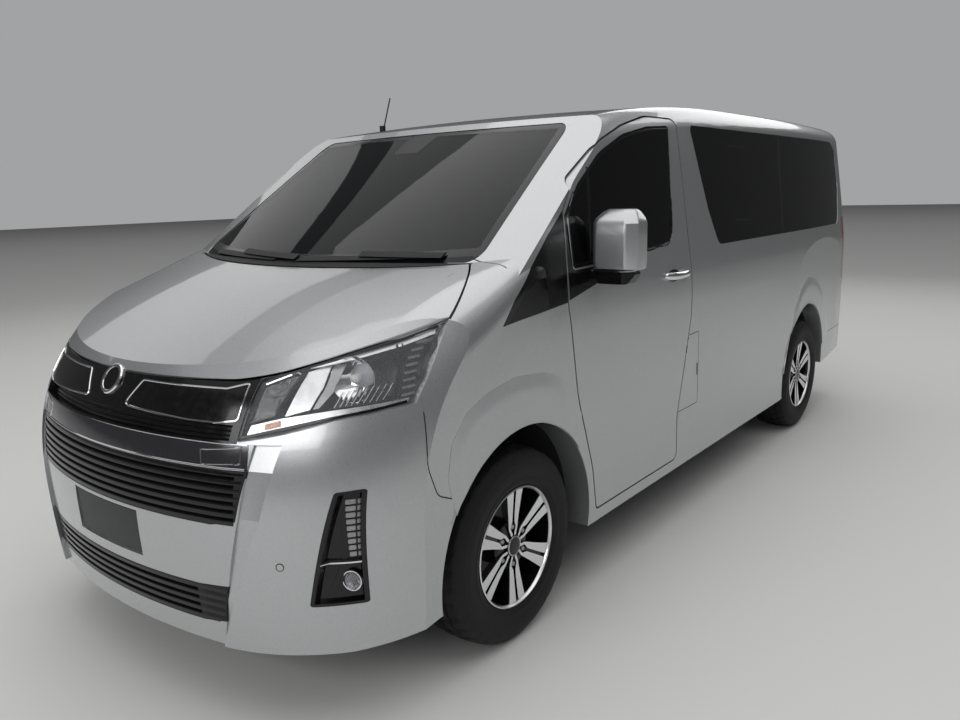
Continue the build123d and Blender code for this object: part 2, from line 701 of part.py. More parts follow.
def build_body():
    """Panels, glass and lids, cut from the one outer form so that each gap is even."""
    parts = {}
    outer = outer_form()
    inner_skin = cabin_form(SIDE_WALL, ROOF_WALL)
    clear_skin = cabin_form(SIDE_WALL + 15, ROOF_WALL + 15)
    glass_skin = (cabin_form(3, 3), cabin_form(3 + GLASS, 3 + GLASS))

    door_face = side_face(DOOR_CORNERS, DOOR_RADII)
    door_window = side_face(DOOR_WINDOW, DOOR_WINDOW_RADII)
    slab = (across(grown(door_face, -DOOR_GAP / 2), SKIN_X, BESIDE) & outer) - inner_skin
    slab -= across(door_window, 600, BESIDE)
    parts["door_left"] = largest(slab - hinge_pin(DOOR_PIN_R + PIN_CLEARANCE))
    parts["door_glass_left"] = pane(door_window, 700, BESIDE, glass_skin)
    for name in ("door", "door_glass"):
        parts[name + "_right"] = mirrored(parts[name + "_left"])

    side_glass = side_face(SIDE_GLASS, SIDE_GLASS_RADII)
    window = across(side_glass, 700, BESIDE)
    slider = side_face(SLIDING_DOOR, SLIDING_DOOR_RADII)
    slider_slab = (across(grown(slider, -REST_GAP), SKIN_X, BESIDE) & outer) - inner_skin
    parts["sliding_door"] = mirrored(largest(slider_slab - window))
    panes = pane(side_glass, 700, BESIDE, glass_skin)
    fixed = mirrored(panes - across(slider, 700, BESIDE))
    sliding = mirrored(panes & across(grown(slider, -2 * REST_GAP), 700, BESIDE))
    parts["side_glass"] = Compound([*panes.solids(), *fixed.solids(), *sliding.solids()])

    hatch = front_face(TAILGATE, TAILGATE_RADII)
    hatch_window = front_face(TAILGATE_WINDOW, TAILGATE_WINDOW_RADII)
    hatch_slab = (along(grown(hatch, -DOOR_GAP / 2), 2300, BEHIND) & outer) - tail_form(TAIL_WALL)
    plate = box(-REAR_PLATE_X, REAR_PLATE_X, 2400, BEHIND, *REAR_PLATE_Z) - tail_form(REAR_PLATE_SINK)
    plate += plate_holes(REAR_PLATE_HOLES_Z, *REAR_PLATE_HOLE_Y)
    parts["tailgate"] = largest(hatch_slab - along(hatch_window, 2300, BEHIND) - plate)
    tail_glass = along(grown(hatch_window, -REST_GAP), 2400, BEHIND) & tail_form(3)
    parts["tailgate_glass"] = tail_glass - tail_form(3 + GLASS)

    lid = bonnet_prism(-DOOR_GAP / 2) & outer
    parts["bonnet"] = largest(lid - bonnet_form(BONNET_WALL))
    over_lid = bonnet_prism(DOOR_GAP / 2) - bonnet_form(BONNET_WALL + LID_DROP)

    screen = screen_form(4) - screen_form(4 + 2 * GLASS)
    parts["windscreen"] = largest(screen & screen_outline(-REST_GAP))

    build_nose(outer, over_lid, parts)

    shell = body_shell(outer)
    doorway = across(grown(door_face, DOOR_GAP / 2), 700, BESIDE)
    swing = doorway & box(*DOOR_SWING)
    doorway = (doorway - clear_skin) + (swing - cabin_form(SIDE_WALL + 36, ROOF_WALL + 15))
    shell = shell - over_lid - doorway - window - screen_outline()
    shell -= along(grown(hatch, DOOR_GAP / 2), 2300, BEHIND) - tail_form(TAIL_WALL + 6)

    roof = shell & box(0, ROOF_PANEL_X, ROOF_FRONT_Y, BEHIND, ROOF_PANEL_Z, ABOVE)
    parts["roof_panel"] = largest(roof + mirrored(roof))
    shell -= box(0, ROOF_PANEL_X + REST_GAP, ROOF_FRONT_Y, BEHIND, ROOF_PANEL_Z - REST_GAP, ABOVE)

    cowl = shell & box(0, COWL_X, -1900, -1560, COWL_Z[0], COWL_Z[1])
    parts["cowl"] = largest(cowl + mirrored(cowl))
    shell -= box(0, COWL_X + REST_GAP, -1900, -1560, COWL_Z[0] - REST_GAP, COWL_Z[1] + REST_GAP)

    behind_bumper = across(grown(side_face(BUMPER_SIDE, BUMPER_RADII), REST_GAP), 0, BESIDE)
    lamp_room = across(grown(side_face(LAMP_SIDE), REST_GAP), LAMP_INNER_X - REST_GAP, BESIDE)
    shell = shell - behind_bumper - lamp_room

    garnish = across(grown(side_face(GARNISH), -REST_GAP), 850, BESIDE) - cabin_form(40, 40)
    parts["garnishes"] = both_sides(largest(shell & garnish))
    shell -= across(side_face(GARNISH), 850, BESIDE) - cabin_form(40 + REST_GAP, 40)

    fender_area = across(side_face(FENDER_SIDE), 690, BESIDE) & along(front_face(FENDER_FRONT), -2140, -1190)
    fender_area -= box(0, 915, -1645, -1000, BELOW, ABOVE)
    parts["fender_left"] = largest(shell & fender_area) + hinge_pin(DOOR_PIN_R)
    shell -= fender_area
    parts["fender_right"] = mirrored(parts["fender_left"])

    lamp = box(TAIL_LAMP_X, BESIDE, FLOOR_REAR_Y, BEHIND, *TAIL_LAMP_Z)
    parts["tail_lamps"] = both_sides(largest(shell & lamp))
    shell -= lamp
    tail_bumper = box(0, BESIDE, REAR_ARCH[0], BEHIND, BELOW, REAR_BUMPER_Z) - tail_form(TAIL_WALL + 50)
    bumper = shell & tail_bumper
    parts["rear_bumper"] = largest(bumper + mirrored(bumper))
    shell -= box(0, BESIDE, REAR_ARCH[0], BEHIND, BELOW, REAR_BUMPER_Z + REST_GAP) - tail_form(TAIL_WALL + 50)

    side_area = along(front_face(SIDE_FRONT), BAY_REAR_Y, BEHIND)
    side_area += box(600, 1000, FLOOR_REAR_Y, BEHIND, REAR_BUMPER_Z, ABOVE)
    side = largest(shell & side_area)
    parts["side_panel_left"] = side
    parts["side_panel_right"] = mirrored(largest(side - (across(slider, 700, BESIDE) - inner_skin)))
    floor = shell - side_area
    parts["floor_pan"] = largest(floor + mirrored(floor))
    return parts


# Running gear
KINGPIN_X = 745
PIN_R = 14
HUB_BORE_R = 25
HUB_CLEARANCE = 0.08
STUB_END_X = 905
RIM_INNER_X = WHEEL_X - 112
RIM_OUTER_X = WHEEL_X + 106
SPOKES = 6
DISC_R = 150
LUG_CIRCLE_R = 139.7 / 2
LUG_POCKET_R = 12.5
LUG_HOLE_R = 7.5
LUG_POCKET_DEPTH = 24


def tyre():
    """Tyre about the X axis: crown arc, shoulders, side walls and beads."""
    half = TYRE_WIDTH / 2
    bead = RIM_R - 3
    profile = Wire([
        arc((-half + 28, 0, WHEEL_R - 9), (0, 0, WHEEL_R), (half - 28, 0, WHEEL_R - 9)),
        arc((half - 28, 0, WHEEL_R - 9), (half - 8, 0, WHEEL_R - 20), (half - 1, 0, WHEEL_R - 42)),
        arc((half - 1, 0, WHEEL_R - 42), (half + 1, 0, (WHEEL_R + bead) / 2), (half - 10, 0, bead + 22)),
        line((half - 10, 0, bead + 22), (half - 16, 0, bead)),
        line((half - 16, 0, bead), (-half + 16, 0, bead)),
        line((-half + 16, 0, bead), (-half + 10, 0, bead + 22)),
        arc((-half + 10, 0, bead + 22), (-half - 1, 0, (WHEEL_R + bead) / 2), (-half + 1, 0, WHEEL_R - 42)),
        arc((-half + 1, 0, WHEEL_R - 42), (-half + 8, 0, WHEEL_R - 20), (-half + 28, 0, WHEEL_R - 9)),
    ])
    return revolve(Face(profile), Axis.X)


def rim():
    """Wheel with its barrel, six twin spokes, hub, cap and brake disc."""
    inner = RIM_INNER_X - WHEEL_X
    outer = RIM_OUTER_X - WHEEL_X
    barrel_r = RIM_R - 3 - REST_GAP
    barrel = Wire([
        line((inner, 0, barrel_r), (outer - 6, 0, barrel_r)),
        arc((outer - 6, 0, barrel_r), (outer - 1, 0, barrel_r - 3), (outer, 0, barrel_r - 9)),
        line((outer, 0, barrel_r - 9), (outer - 4, 0, barrel_r - 13)),
        line((outer - 4, 0, barrel_r - 13), (inner, 0, barrel_r - 13)),
        line((inner, 0, barrel_r - 13), (inner, 0, barrel_r)),
    ])
    wheel = revolve(Face(barrel), Axis.X)
    wheel += cylinder_x(0, 0, 78, outer - 62, outer - 14)
    wheel += cylinder_x(0, 0, DISC_R, -62, -38)
    wheel += cylinder_x(0, 0, 78, -62, outer - 60)
    for i in range(SPOKES):
        for side in (-1, 1):
            turn = 360 / SPOKES * i
            spoke = Wire([
                line((side * 5, 0, 60), (side * 27, 0, 66)),
                line((side * 27, 0, 66), (side * 49, 0, barrel_r - 8)),
                line((side * 49, 0, barrel_r - 8), (side * 6, 0, barrel_r - 5)),
                line((side * 6, 0, barrel_r - 5), (side * 5, 0, 60)),
            ])
            bar = Solid.extrude(Face(spoke), Vector(0, 26, 0))
            wheel += Rot(turn, 0, 0) * (Pos(outer - 40, 0, 0) * (Rot(0, 0, -90) * bar))
    wheel -= cylinder_x(0, 0, HUB_BORE_R + HUB_CLEARANCE, -90, STUB_END_X - WHEEL_X + HUB_CLEARANCE)
    for i in range(SPOKES):
        lug = cylinder_x(0, LUG_CIRCLE_R, LUG_POCKET_R, outer - 14 - LUG_POCKET_DEPTH, outer + 20)
        lug += cylinder_x(0, LUG_CIRCLE_R, LUG_HOLE_R, -70, outer)
        wheel -= Rot(360 / SPOKES * i, 0, 0) * lug
    return wheel


def wheel_at(shape, side, y):
    """A wheel's shape on its axle, on the left or mirrored to the right."""
    placed = Pos(WHEEL_X, y, WHEEL_Z) * shape
    return placed if side > 0 else mirrored(placed)


def pin_at(z0, z1, radius, x=KINGPIN_X):
    """Upright cylinder over the front axle's line."""
    return Pos(x, FRONT_AXLE_Y, (z0 + z1) / 2) * Cylinder(radius, z1 - z0)


def knuckle():
    """Left steering knuckle: upright, stub axle, two pins, steering arm."""
    y = FRONT_AXLE_Y
    body = box(KINGPIN_X - 26, KINGPIN_X + 22, y - 38, y + 38, 236, 462)
    body += cylinder_x(y, WHEEL_Z, 60, KINGPIN_X - 26, KINGPIN_X + 22)
    body += cylinder_x(y, WHEEL_Z, HUB_BORE_R, KINGPIN_X, STUB_END_X)
    body += pin_at(203, 240, PIN_R) + pin_at(455, 500, PIN_R)
    return body + box(KINGPIN_X - 60, KINGPIN_X, y + 20, y + 150, 290, 316)


def front_suspension():
    """Left half: cross-member with its lower arm, and the strut with its bracket."""
    y = FRONT_AXLE_Y
    beam = box(0, 330, y - 60, y + 60, 205, 278)
    arm_plan = [(300, y - 120), (300, y + 160), (KINGPIN_X, y + 24), (KINGPIN_X, y - 24)]
    arm = upright(plan_face(arm_plan), 204, 230)
    arm += pin_at(204, 230, 24)
    strut = pin_at(480, 801 - 4, 28, 668) + pin_at(722, 800, 50, 668)
    bracket = box(650, KINGPIN_X, y - 20, y + 20, 468, 504) + pin_at(468, 504, 21)
    bore = pin_at(150, 700, PIN_R + PIN_CLEARANCE)
    return (beam + arm) - bore, (strut + bracket) - bore


def rear_axle():
    """Live axle with its differential, drums' back plates, leaf springs and propeller shaft."""
    y = REAR_AXLE_Y
    inner = RIM_INNER_X - 8
    axle = cylinder_x(y, WHEEL_Z, 42, -inner, inner)
    axle += cylinder_x(y, WHEEL_Z, HUB_BORE_R, -STUB_END_X, STUB_END_X)
    axle += Pos(0, y, WHEEL_Z) * Sphere(82)
    for side in (-1, 1):
        for leaf, (length, z) in enumerate(((1300, 292), (1000, 282), (640, 272))):
            x = side * 545
            axle += box(x - 32, x + 32, y - length / 2, y + length / 2, z, z + 10)
        axle += box(side * 545 - 40, side * 545 + 40, y - 55, y + 55, 268, WHEEL_Z)
        for end in (-1, 1):
            shackle_y = y + end * 640
            axle += box(side * 545 - 32, side * 545 + 32, shackle_y - 14, shackle_y + 14, 292, FLOOR_BOTTOM_Z
                        - REST_GAP)
    shaft = Pos(0, (y - 900) / 2, WHEEL_Z + 12) * (Rot(90, 0, 0) * Cylinder(38, y + 900))
    return axle + shaft


def rounded_block(x0, x1, y0, y1, z0, z1, radius):
    """Block with all its edges rounded."""
    block = box(x0, x1, y0, y1, z0, z1)
    return fillet(block.edges(), radius)


SEAT_Z = 800
SEAT_DEPTH = 470


def seat(x0, x1, y, z):
    """One seat: cushion, leaning back and head rest in one closed form."""
    depth = SEAT_DEPTH
    profile = side_face([(y, z), (y + depth, z), (y + depth + 190, z + 620), (y + depth + 110, z + 640),
                         (y + depth - 110, z + 130), (y, z + 120)], [30, 50, 40, 40, 50, 45])
    body = across(profile, x0, x1)
    middle = (x0 + x1) / 2
    head = across(side_face([(y + depth + 110, z + 660), (y + depth + 205, z + 640),
                             (y + depth + 230, z + 830), (y + depth + 150, z + 840)], [25, 25, 30, 30]),
                  middle - 130, middle + 130)
    post = box(middle - 60, middle + 60, y + depth + 140, y + depth + 160, z + 600, z + 680)
    return body + head + post


def pedestal(x0, x1, y):
    """Base of a seat on the floor."""
    return box(x0 + 60, x1 - 60, y + 60, y + 420, FLOOR_TOP_Z + REST_GAP, SEAT_Z + 10)


# Rows of seats: node, y of the front edge, x of each seat's sides
ROWS = [("front_seats", -830, ((190, 690), (-690, -190))),
        ("rear_seats", 60, ((250, 770), (-300, 220), (-840, -330))),
        ("rear_seats", 900, ((80, 590), (-590, -80))),
        ("rear_seats", 1700, ((80, 590), (-590, -80)))]


DASH = [(-1540, 900), (-1250, 760), (-1180, 980), (-1240, 1150), (-1350, 1230), (FIREWALL_Y + REST_GAP, 1262)]
DASH_RADII = [20, 60, 60, 80, 60, 2]
DASH_X = 840
STEERING_CENTRE = (400, -1010, 1120)
STEERING_TILT = -62
STEERING_R = 178


def build_seats(parts):
    solids = {}
    for name, y, places in ROWS:
        for x0, x1 in places:
            place = seat(x0, x1, y, SEAT_Z) + pedestal(x0, x1, y)
            solids.setdefault(name, []).extend(place.solids())
    for name, found in solids.items():
        parts[name] = Compound(found)


def dashboard():
    """Dashboard with the steering wheel on its column."""
    wheel = Torus(STEERING_R, 15) + Cylinder(62, 46) + Box(340, 44, 20)
    wheel += Pos(0, -88, 0) * Box(44, 172, 20)
    wheel += Pos(0, 0, -105) * Cylinder(36, 210)
    dash = across(side_face(DASH, DASH_RADII), -DASH_X, DASH_X)
    return dash + Pos(*STEERING_CENTRE) * (Rot(STEERING_TILT, 0, 0) * wheel)


# Mirror: the cap and the lower housing, each seen from the front (x, z) and from above (x, y)
MIRROR_CAP_FRONT = [(968, 1292), (1148, 1292), (1156, 1462), (1126, 1510), (1004, 1516), (966, 1474)]
MIRROR_CAP_PLAN = [(965, -1102), (1157, -1102), (1152, -1150), (1112, -1206), (996, -1212), (965, -1176)]
MIRROR_BASE_FRONT = [(1004, 1244), (1116, 1244), (1146, 1291.7), (972, 1291.7)]
MIRROR_BASE_PLAN = [(975, -1118), (1148, -1118), (1142, -1158), (1104, -1196), (1004, -1200), (975, -1168)]
MIRROR_ARM = [(940, 1262), (1040, 1256), (1040, 1286), (940, 1291)]
MIRROR_ARM_Y = (-1186, -1124)


def two_way(front, front_r, plan, plan_r):
    """Form with one outline seen from the front and another seen from above."""
    body = along(front_face(front, [front_r] * len(front)), -1300, -1000)
    return body & upright(plan_face(plan, [plan_r] * len(plan)), BELT_Z, ABOVE)


def mirror_cap():
    return two_way(MIRROR_CAP_FRONT, 16, MIRROR_CAP_PLAN, 20)


def mirror_base():
    """Lower housing and the arm that stands on the door."""
    housing = two_way(MIRROR_BASE_FRONT, 12, MIRROR_BASE_PLAN, 16)
    return housing + along(front_face(MIRROR_ARM), *MIRROR_ARM_Y)


# Wipers seen from the front: each blade's ends and each arm's ends, as x, z
WIPERS = [
    (((-590, 1368), (-60, 1360)), ((60, 1367), (-320, 1379))),
    (((70, 1360), (640, 1374)), ((675, 1377), (350, 1381))),
]


def bar_between(p, q, width):
    """Straight bar seen from the front, from p to q."""
    (x0, z0), (x1, z1) = p, q
    length = hypot(x1 - x0, z1 - z0)
    dx, dz = (z0 - z1) / length * width / 2, (x1 - x0) / length * width / 2
    corners = [(x0 + dx, z0 + dz), (x1 + dx, z1 + dz), (x1 - dx, z1 - dz), (x0 - dx, z0 - dz)]
    return along(front_face(corners), -2000, -1400)


def wipers():
    """Blades on the glass with an arm over each."""
    blade_band = screen_form(-10) - screen_form(4 - REST_GAP)
    arm_band = screen_form(-20) - screen_form(-9)
    solids = []
    for blade, arm in WIPERS:
        one = (bar_between(*blade, 14) & blade_band) + (bar_between(*arm, 16) & arm_band)
        solids += one.solids()
    return Compound(solids)


HANDLE = (972, 1004, -535, -330, 1162, 1192)
ANTENNA_X = -700
ANTENNA_Y = -560
ENGINE = (-300, 300, -2150, -1660, 278.3, 980)
FUEL_TANK = (-560, -120, -350, 520, 262, FLOOR_BOTTOM_Z - REST_GAP)
SILENCER = (180, 480, 250, 800, 268, FLOOR_BOTTOM_Z - REST_GAP)


def antenna():
    """Mast leaning back from its foot on the roof."""
    mast = Pos(ANTENNA_X, ANTENNA_Y + 34, 2010) * (Rot(-20, 0, 0) * Cylinder(3.5, 200))
    mast += Pos(ANTENNA_X, ANTENNA_Y, 1935) * Cylinder(16, 40)
    return largest(mast - Pos(0, 0, REST_GAP) * cabin_form())


def exhaust():
    """Silencer with the pipe from the engine and the tail pipe."""
    pipe = Pos(330, -455, 350) * (Rot(90, 0, 0) * Cylinder(27, 1430))
    tail = Pos(400, 1650, 290) * (Rot(90, 0, 0) * Cylinder(22, 1720))
    return rounded_block(*SILENCER, 40) + pipe + tail


def build_gear(parts):
    tyre_solid, rim_solid = tyre(), rim()
    for end, y in (("front", FRONT_AXLE_Y), ("rear", REAR_AXLE_Y)):
        for label, side in (("left", 1), ("right", -1)):
            parts["tyre_" + end + "_" + label] = wheel_at(tyre_solid, side, y)
            parts["rim_" + end + "_" + label] = wheel_at(rim_solid, side, y)
    parts["knuckle_left"] = knuckle()
    parts["knuckle_right"] = mirrored(knuckle())
    low, upper = front_suspension()
    cradle = largest(low + mirrored(low))
    parts["front_subframe"] = Compound([cradle, *both_sides(upper).solids()])
    parts["rear_axle"] = rear_axle()
    parts["engine_block"] = rounded_block(*ENGINE, 30)
    parts["fuel_tank"] = rounded_block(*FUEL_TANK, 28)
    parts["exhaust"] = exhaust()


def build_fittings(parts):
    parts["wipers"] = wipers()
    parts["antenna"] = antenna()
    parts["stops"] = stops()
    parts["handle_left"] = rounded_block(*HANDLE, 12)
    parts["mirror_left"] = mirror_cap()
    parts["mirror_base_left"] = largest(mirror_base() - Pos(REST_GAP, 0, 0) * cabin_form())
    for name in ("mirror", "mirror_base", "handle"):
        parts[name + "_right"] = mirrored(parts[name + "_left"])


if __name__ == "__main__":
    os.makedirs("parts", exist_ok=True)
    made = build_body()
    build_gear(made)
    build_fittings(made)
    build_seats(made)
    made["dashboard"] = dashboard()
    for name, shape in made.items():
        write(shape, name)
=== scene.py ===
import json
import math
import bpy
import bmesh
from mathutils import Matrix, Vector
from mathutils.bvhtree import BVHTree
from mathutils.geometry import delaunay_2d_cdt


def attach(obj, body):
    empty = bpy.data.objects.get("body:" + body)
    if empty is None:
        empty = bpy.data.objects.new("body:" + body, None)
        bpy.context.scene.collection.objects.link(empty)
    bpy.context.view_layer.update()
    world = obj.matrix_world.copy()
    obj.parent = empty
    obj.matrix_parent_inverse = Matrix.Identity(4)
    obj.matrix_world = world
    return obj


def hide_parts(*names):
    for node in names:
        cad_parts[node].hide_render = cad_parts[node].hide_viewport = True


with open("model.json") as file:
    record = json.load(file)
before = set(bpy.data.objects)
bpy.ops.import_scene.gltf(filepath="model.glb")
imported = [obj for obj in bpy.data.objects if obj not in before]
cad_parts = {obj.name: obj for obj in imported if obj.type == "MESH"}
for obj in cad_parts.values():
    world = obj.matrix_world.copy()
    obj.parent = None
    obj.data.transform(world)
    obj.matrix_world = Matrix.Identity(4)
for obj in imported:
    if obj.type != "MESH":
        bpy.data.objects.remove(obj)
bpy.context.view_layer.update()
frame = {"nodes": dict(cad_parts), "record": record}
nodes = frame["nodes"]
scene = bpy.context.scene

MM = 0.001


# Materials
def new_material(name):
    mat = bpy.data.materials.new(name)
    mat.use_nodes = True
    tree = mat.node_tree
    shader = tree.nodes["Principled BSDF"]
    return mat, tree, shader


def noise(tree, scale, detail, rough=0.5):
    coords = tree.nodes.new("ShaderNodeTexCoord")
    tex = tree.nodes.new("ShaderNodeTexNoise")
    tex.inputs["Scale"].default_value = scale
    tex.inputs["Detail"].default_value = detail
    tex.inputs["Roughness"].default_value = rough
    tree.links.new(coords.outputs["Object"], tex.inputs["Vector"])
    return tex


def ramp(tree, tex, dark, light, socket, start=0.3):
    """Blend from dark to light by a noise, led to a socket."""
    node = tree.nodes.new("ShaderNodeValToRGB")
    for element, place, color in zip(node.color_ramp.elements, (start, 0.7), (dark, light)):
        element.position = place
        element.color = (*color, 1)
    tree.links.new(tex.outputs["Fac"], node.inputs["Fac"])
    tree.links.new(node.outputs["Color"], socket)


def speckle(tree, shader, scale, detail, dark, light, low, high):
    """Colour and roughness that follow one noise."""
    tex = noise(tree, scale, detail, 0.6)
    ramp(tree, tex, dark, light, shader.inputs["Base Color"])
    ramp(tree, tex, (low,) * 3, (high,) * 3, shader.inputs["Roughness"])
    return tex


def coated(shader, weight, rough):
    shader.inputs["Coat Weight"].default_value = weight
    shader.inputs["Coat Roughness"].default_value = rough


def bump(tree, shader, height, strength, distance):
    node = tree.nodes.new("ShaderNodeBump")
    node.inputs["Strength"].default_value = strength
    node.inputs["Distance"].default_value = distance
    tree.links.new(height, node.inputs["Height"])
    tree.links.new(node.outputs["Normal"], shader.inputs["Normal"])


def metallic_paint(name, dark, light):
    mat, tree, shader = new_material(name)
    ramp(tree, noise(tree, 900.0, 2.0), dark, light, shader.inputs["Base Color"], 0.35)
    ramp(tree, noise(tree, 260.0, 4.0), (0.27,) * 3, (0.35,) * 3, shader.inputs["Roughness"])
    shader.inputs["Metallic"].default_value = 0.75
    coated(shader, 1.0, 0.04)
    return mat


def plastic(name, dark, light, rough, grain_scale, grain, coat=0.0, shine=0.5):
    mat, tree, shader = new_material(name)
    speck = speckle(tree, shader, grain_scale, 5.0, dark, light, rough - 0.05, rough + 0.08)
    coated(shader, coat, 0.05)
    shader.inputs["Specular IOR Level"].default_value = shine
    if grain:
        bump(tree, shader, speck.outputs["Fac"], grain, 0.0004)
    return mat


def metal(name, dark, light, rough, scale=300.0, metallic=1.0):
    mat, tree, shader = new_material(name)
    speckle(tree, shader, scale, 4.0, dark, light, max(rough - 0.04, 0.02), rough + 0.05)
    shader.inputs["Metallic"].default_value = metallic
    return mat


def faceted(name, dark, light, rough, scale, cells):
    """Metal broken into small facets, as in the bowl of a lamp."""
    mat = metal(name, dark, light, rough, scale)
    tree = mat.node_tree
    pattern = tree.nodes.new("ShaderNodeTexVoronoi")
    pattern.inputs["Scale"].default_value = cells
    bump(tree, tree.nodes["Principled BSDF"], pattern.outputs["Distance"], 1.0, 0.006)
    return mat


def glass(name, color, alpha, coat=1.0, shine=0.7):
    mat, tree, shader = new_material(name)
    lighter = tuple(c * 1.15 for c in color)
    ramp(tree, noise(tree, 3.0, 2.0), color, lighter, shader.inputs["Base Color"])
    shader.inputs["Roughness"].default_value = 0.02
    shader.inputs["Alpha"].default_value = alpha
    coated(shader, coat, 0.02)
    shader.inputs["Specular IOR Level"].default_value = shine
    return mat


SILVER = metallic_paint("silver", (0.42, 0.43, 0.44), (0.56, 0.57, 0.58))
UNDER = plastic("underbody", (0.012, 0.012, 0.013), (0.03, 0.03, 0.032), 0.6, 120.0, 0.3)
GLOSS = plastic("gloss_black", (0.003, 0.003, 0.0035), (0.006, 0.006, 0.0065), 0.14, 40.0, 0, 0.1, 0.4)
BLACK = plastic("grained_black", (0.007, 0.007, 0.0075), (0.014, 0.014, 0.015), 0.5, 900.0, 0.25, shine=0.3)
# Flat near-black for real joints and slots, also used as painted shade in hollows and deep grille gaps
JOINT_AND_SHADE = plastic("shadow_gap", (0.004, 0.004, 0.004), (0.008, 0.008, 0.008), 0.8, 300.0, 0)
RUBBER = plastic("rubber", (0.007, 0.007, 0.007), (0.014, 0.014, 0.0145), 0.62, 500.0, 0.3, shine=0.3)
CHROME = metal("chrome", (0.78, 0.78, 0.8), (0.86, 0.86, 0.88), 0.07)
DARK_CHROME = metal("dark_chrome", (0.22, 0.22, 0.235), (0.30, 0.30, 0.32), 0.12)
ALLOY = metal("machined_alloy", (0.78, 0.78, 0.79), (0.88, 0.88, 0.89), 0.3)
STEEL = metal("steel", (0.30, 0.30, 0.31), (0.42, 0.42, 0.43), 0.35)
CAST = metal("cast", (0.06, 0.06, 0.062), (0.12, 0.12, 0.122), 0.6, 200.0, 0.6)
TINT = glass("tinted_glass", (0.002, 0.0022, 0.0024), 0.94, coat=0.0, shine=0.3)
SCREEN = glass("screen_glass", (0.005, 0.006, 0.0065), 0.74, coat=0.0, shine=0.3)
CLEAR = glass("clear_lens", (0.75, 0.77, 0.8), 0.05, coat=0.3, shine=0.4)
RED = glass("red_lens", (0.30, 0.008, 0.008), 0.88)
CLOTH = plastic("seat_cloth", (0.02, 0.02, 0.022), (0.05, 0.05, 0.053), 0.85, 700.0, 0.6)
PLATE = plastic("blank_plate", (0.016, 0.017, 0.018), (0.022, 0.023, 0.024), 0.45, 200.0, 0)
WHITE = plastic("lamp_white", (0.62, 0.63, 0.64), (0.72, 0.73, 0.74), 0.35, 200.0, 0)
AMBER = glass("amber_lens", (0.55, 0.16, 0.01), 0.8)
BRIGHT = metal("lamp_silver", (0.72, 0.72, 0.74), (0.84, 0.84, 0.86), 0.3, 40.0)
FACETS = faceted("lamp_facets", (0.5, 0.5, 0.52), (0.85, 0.85, 0.87), 0.1, 90.0, 110.0)
FLOOR = bpy.data.materials.new("floor")

# Material of each slot in the record
look = {
    "silver_paint": SILVER, "black_body": UNDER, "tinted_glass": TINT, "clear_lens": CLEAR,
    "red_lens": RED, "gloss_black": GLOSS, "black_plastic": BLACK, "chrome_trim": CHROME,
    "dark_chrome": DARK_CHROME, "tyre": RUBBER, "rubber": RUBBER, "alloy": ALLOY, "steel": STEEL,
    "cast": CAST, "seat_cloth": CLOTH,
}
slot_of = {part["node"]: part["material_slot"] for part in frame["record"]["subparts"]}
for name, node in nodes.items():
    mat = look[slot_of[name]]
    if name == "windscreen":
        mat = SCREEN
    node.data.materials.clear()
    node.data.materials.append(mat)


# Making pieces
def piece(name, verts, faces, mats, body, sharp, face_mats=None, merge=True):
    """Mesh piece from points in metres that rides on a CAD body."""
    mesh = bpy.data.meshes.new(name)
    mesh.from_pydata([tuple(v) for v in verts], [], faces)
    if face_mats:
        for poly, index in zip(mesh.polygons, face_mats):
            poly.material_index = index
    bm = bmesh.new()
    bm.from_mesh(mesh)
    if merge:
        bmesh.ops.remove_doubles(bm, verts=bm.verts, dist=1e-6)
        bmesh.ops.recalc_face_normals(bm, faces=bm.faces)
    bm.to_mesh(mesh)
    bm.free()
    for mat in mats:
        mesh.materials.append(mat)
    mesh.polygons.foreach_set("use_smooth", [True] * len(mesh.polygons))
    mesh.set_sharp_from_angle(angle=math.radians(sharp))
    obj = bpy.data.objects.new(name, mesh)
    scene.collection.objects.link(obj)
    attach(obj, body)
    return obj


class Parts:
    """Points and faces of several forms that make one piece."""

    def __init__(self):
        self.verts = []
        self.faces = []
        self.mats = []

    def add(self, verts, faces, mat=0, move=None):
        base = len(self.verts)
        self.verts += [move @ Vector(v) if move else Vector(v) for v in verts]
        self.faces += [[base + i for i in f] for f in faces]
        self.mats += [mat] * len(faces)

    def make(self, name, mats, body, sharp=35):
        return piece(name, self.verts, self.faces, mats, body, sharp, self.mats)

    def mirrored(self):
        other = Parts()
        other.verts = [Vector((-v.x, v.y, v.z)) for v in self.verts]
        other.faces = [list(reversed(f)) for f in self.faces]
        other.mats = list(self.mats)
        return other


def skin_of(*names):
    """Surface of some CAD nodes that lines are cast on."""
    verts, faces = [], []
    for name in names:
        mesh = nodes[name].data
        base = len(verts)
        verts += [v.co.copy() for v in mesh.vertices]
        faces += [[base + i for i in p.vertices] for p in mesh.polygons]
    return BVHTree.FromPolygons(verts, faces)


def smooth_path(points, step, closed=False, curved=True):
    """Points every step along a path through the given ones, in metres."""
    pts = [Vector(p) for p in points]
    count = len(pts)
    spans = count if closed else count - 1
    out = []
    for i in range(spans):
        b, c = pts[i], pts[(i + 1) % count]
        a = pts[i - 1] if closed or i > 0 else b
        d = pts[(i + 2) % count] if closed or i + 2 < count else c
        parts = max(1, math.ceil((c - b).length / step))
        for j in range(parts):
            t = j / parts
            if curved:
                out.append(0.5 * (2 * b + (c - a) * t + (2 * a - 5 * b + 4 * c - d) * t ** 2
                                  + (3 * b - a - 3 * c + d) * t ** 3))
            else:
                out.append(b.lerp(c, t))
    if not closed:
        out.append(pts[-1])
    return out


# Where a cast starts from each side, in metres: coordinate, axis, sign of its way
SIDES = {"left": (2.0, 0, -1), "right": (-2.0, 0, 1), "front": (-4.0, 1, 1), "rear": (4.0, 1, -1),
         "top": (4.0, 2, -1)}
EDGE_RISE = 0.35


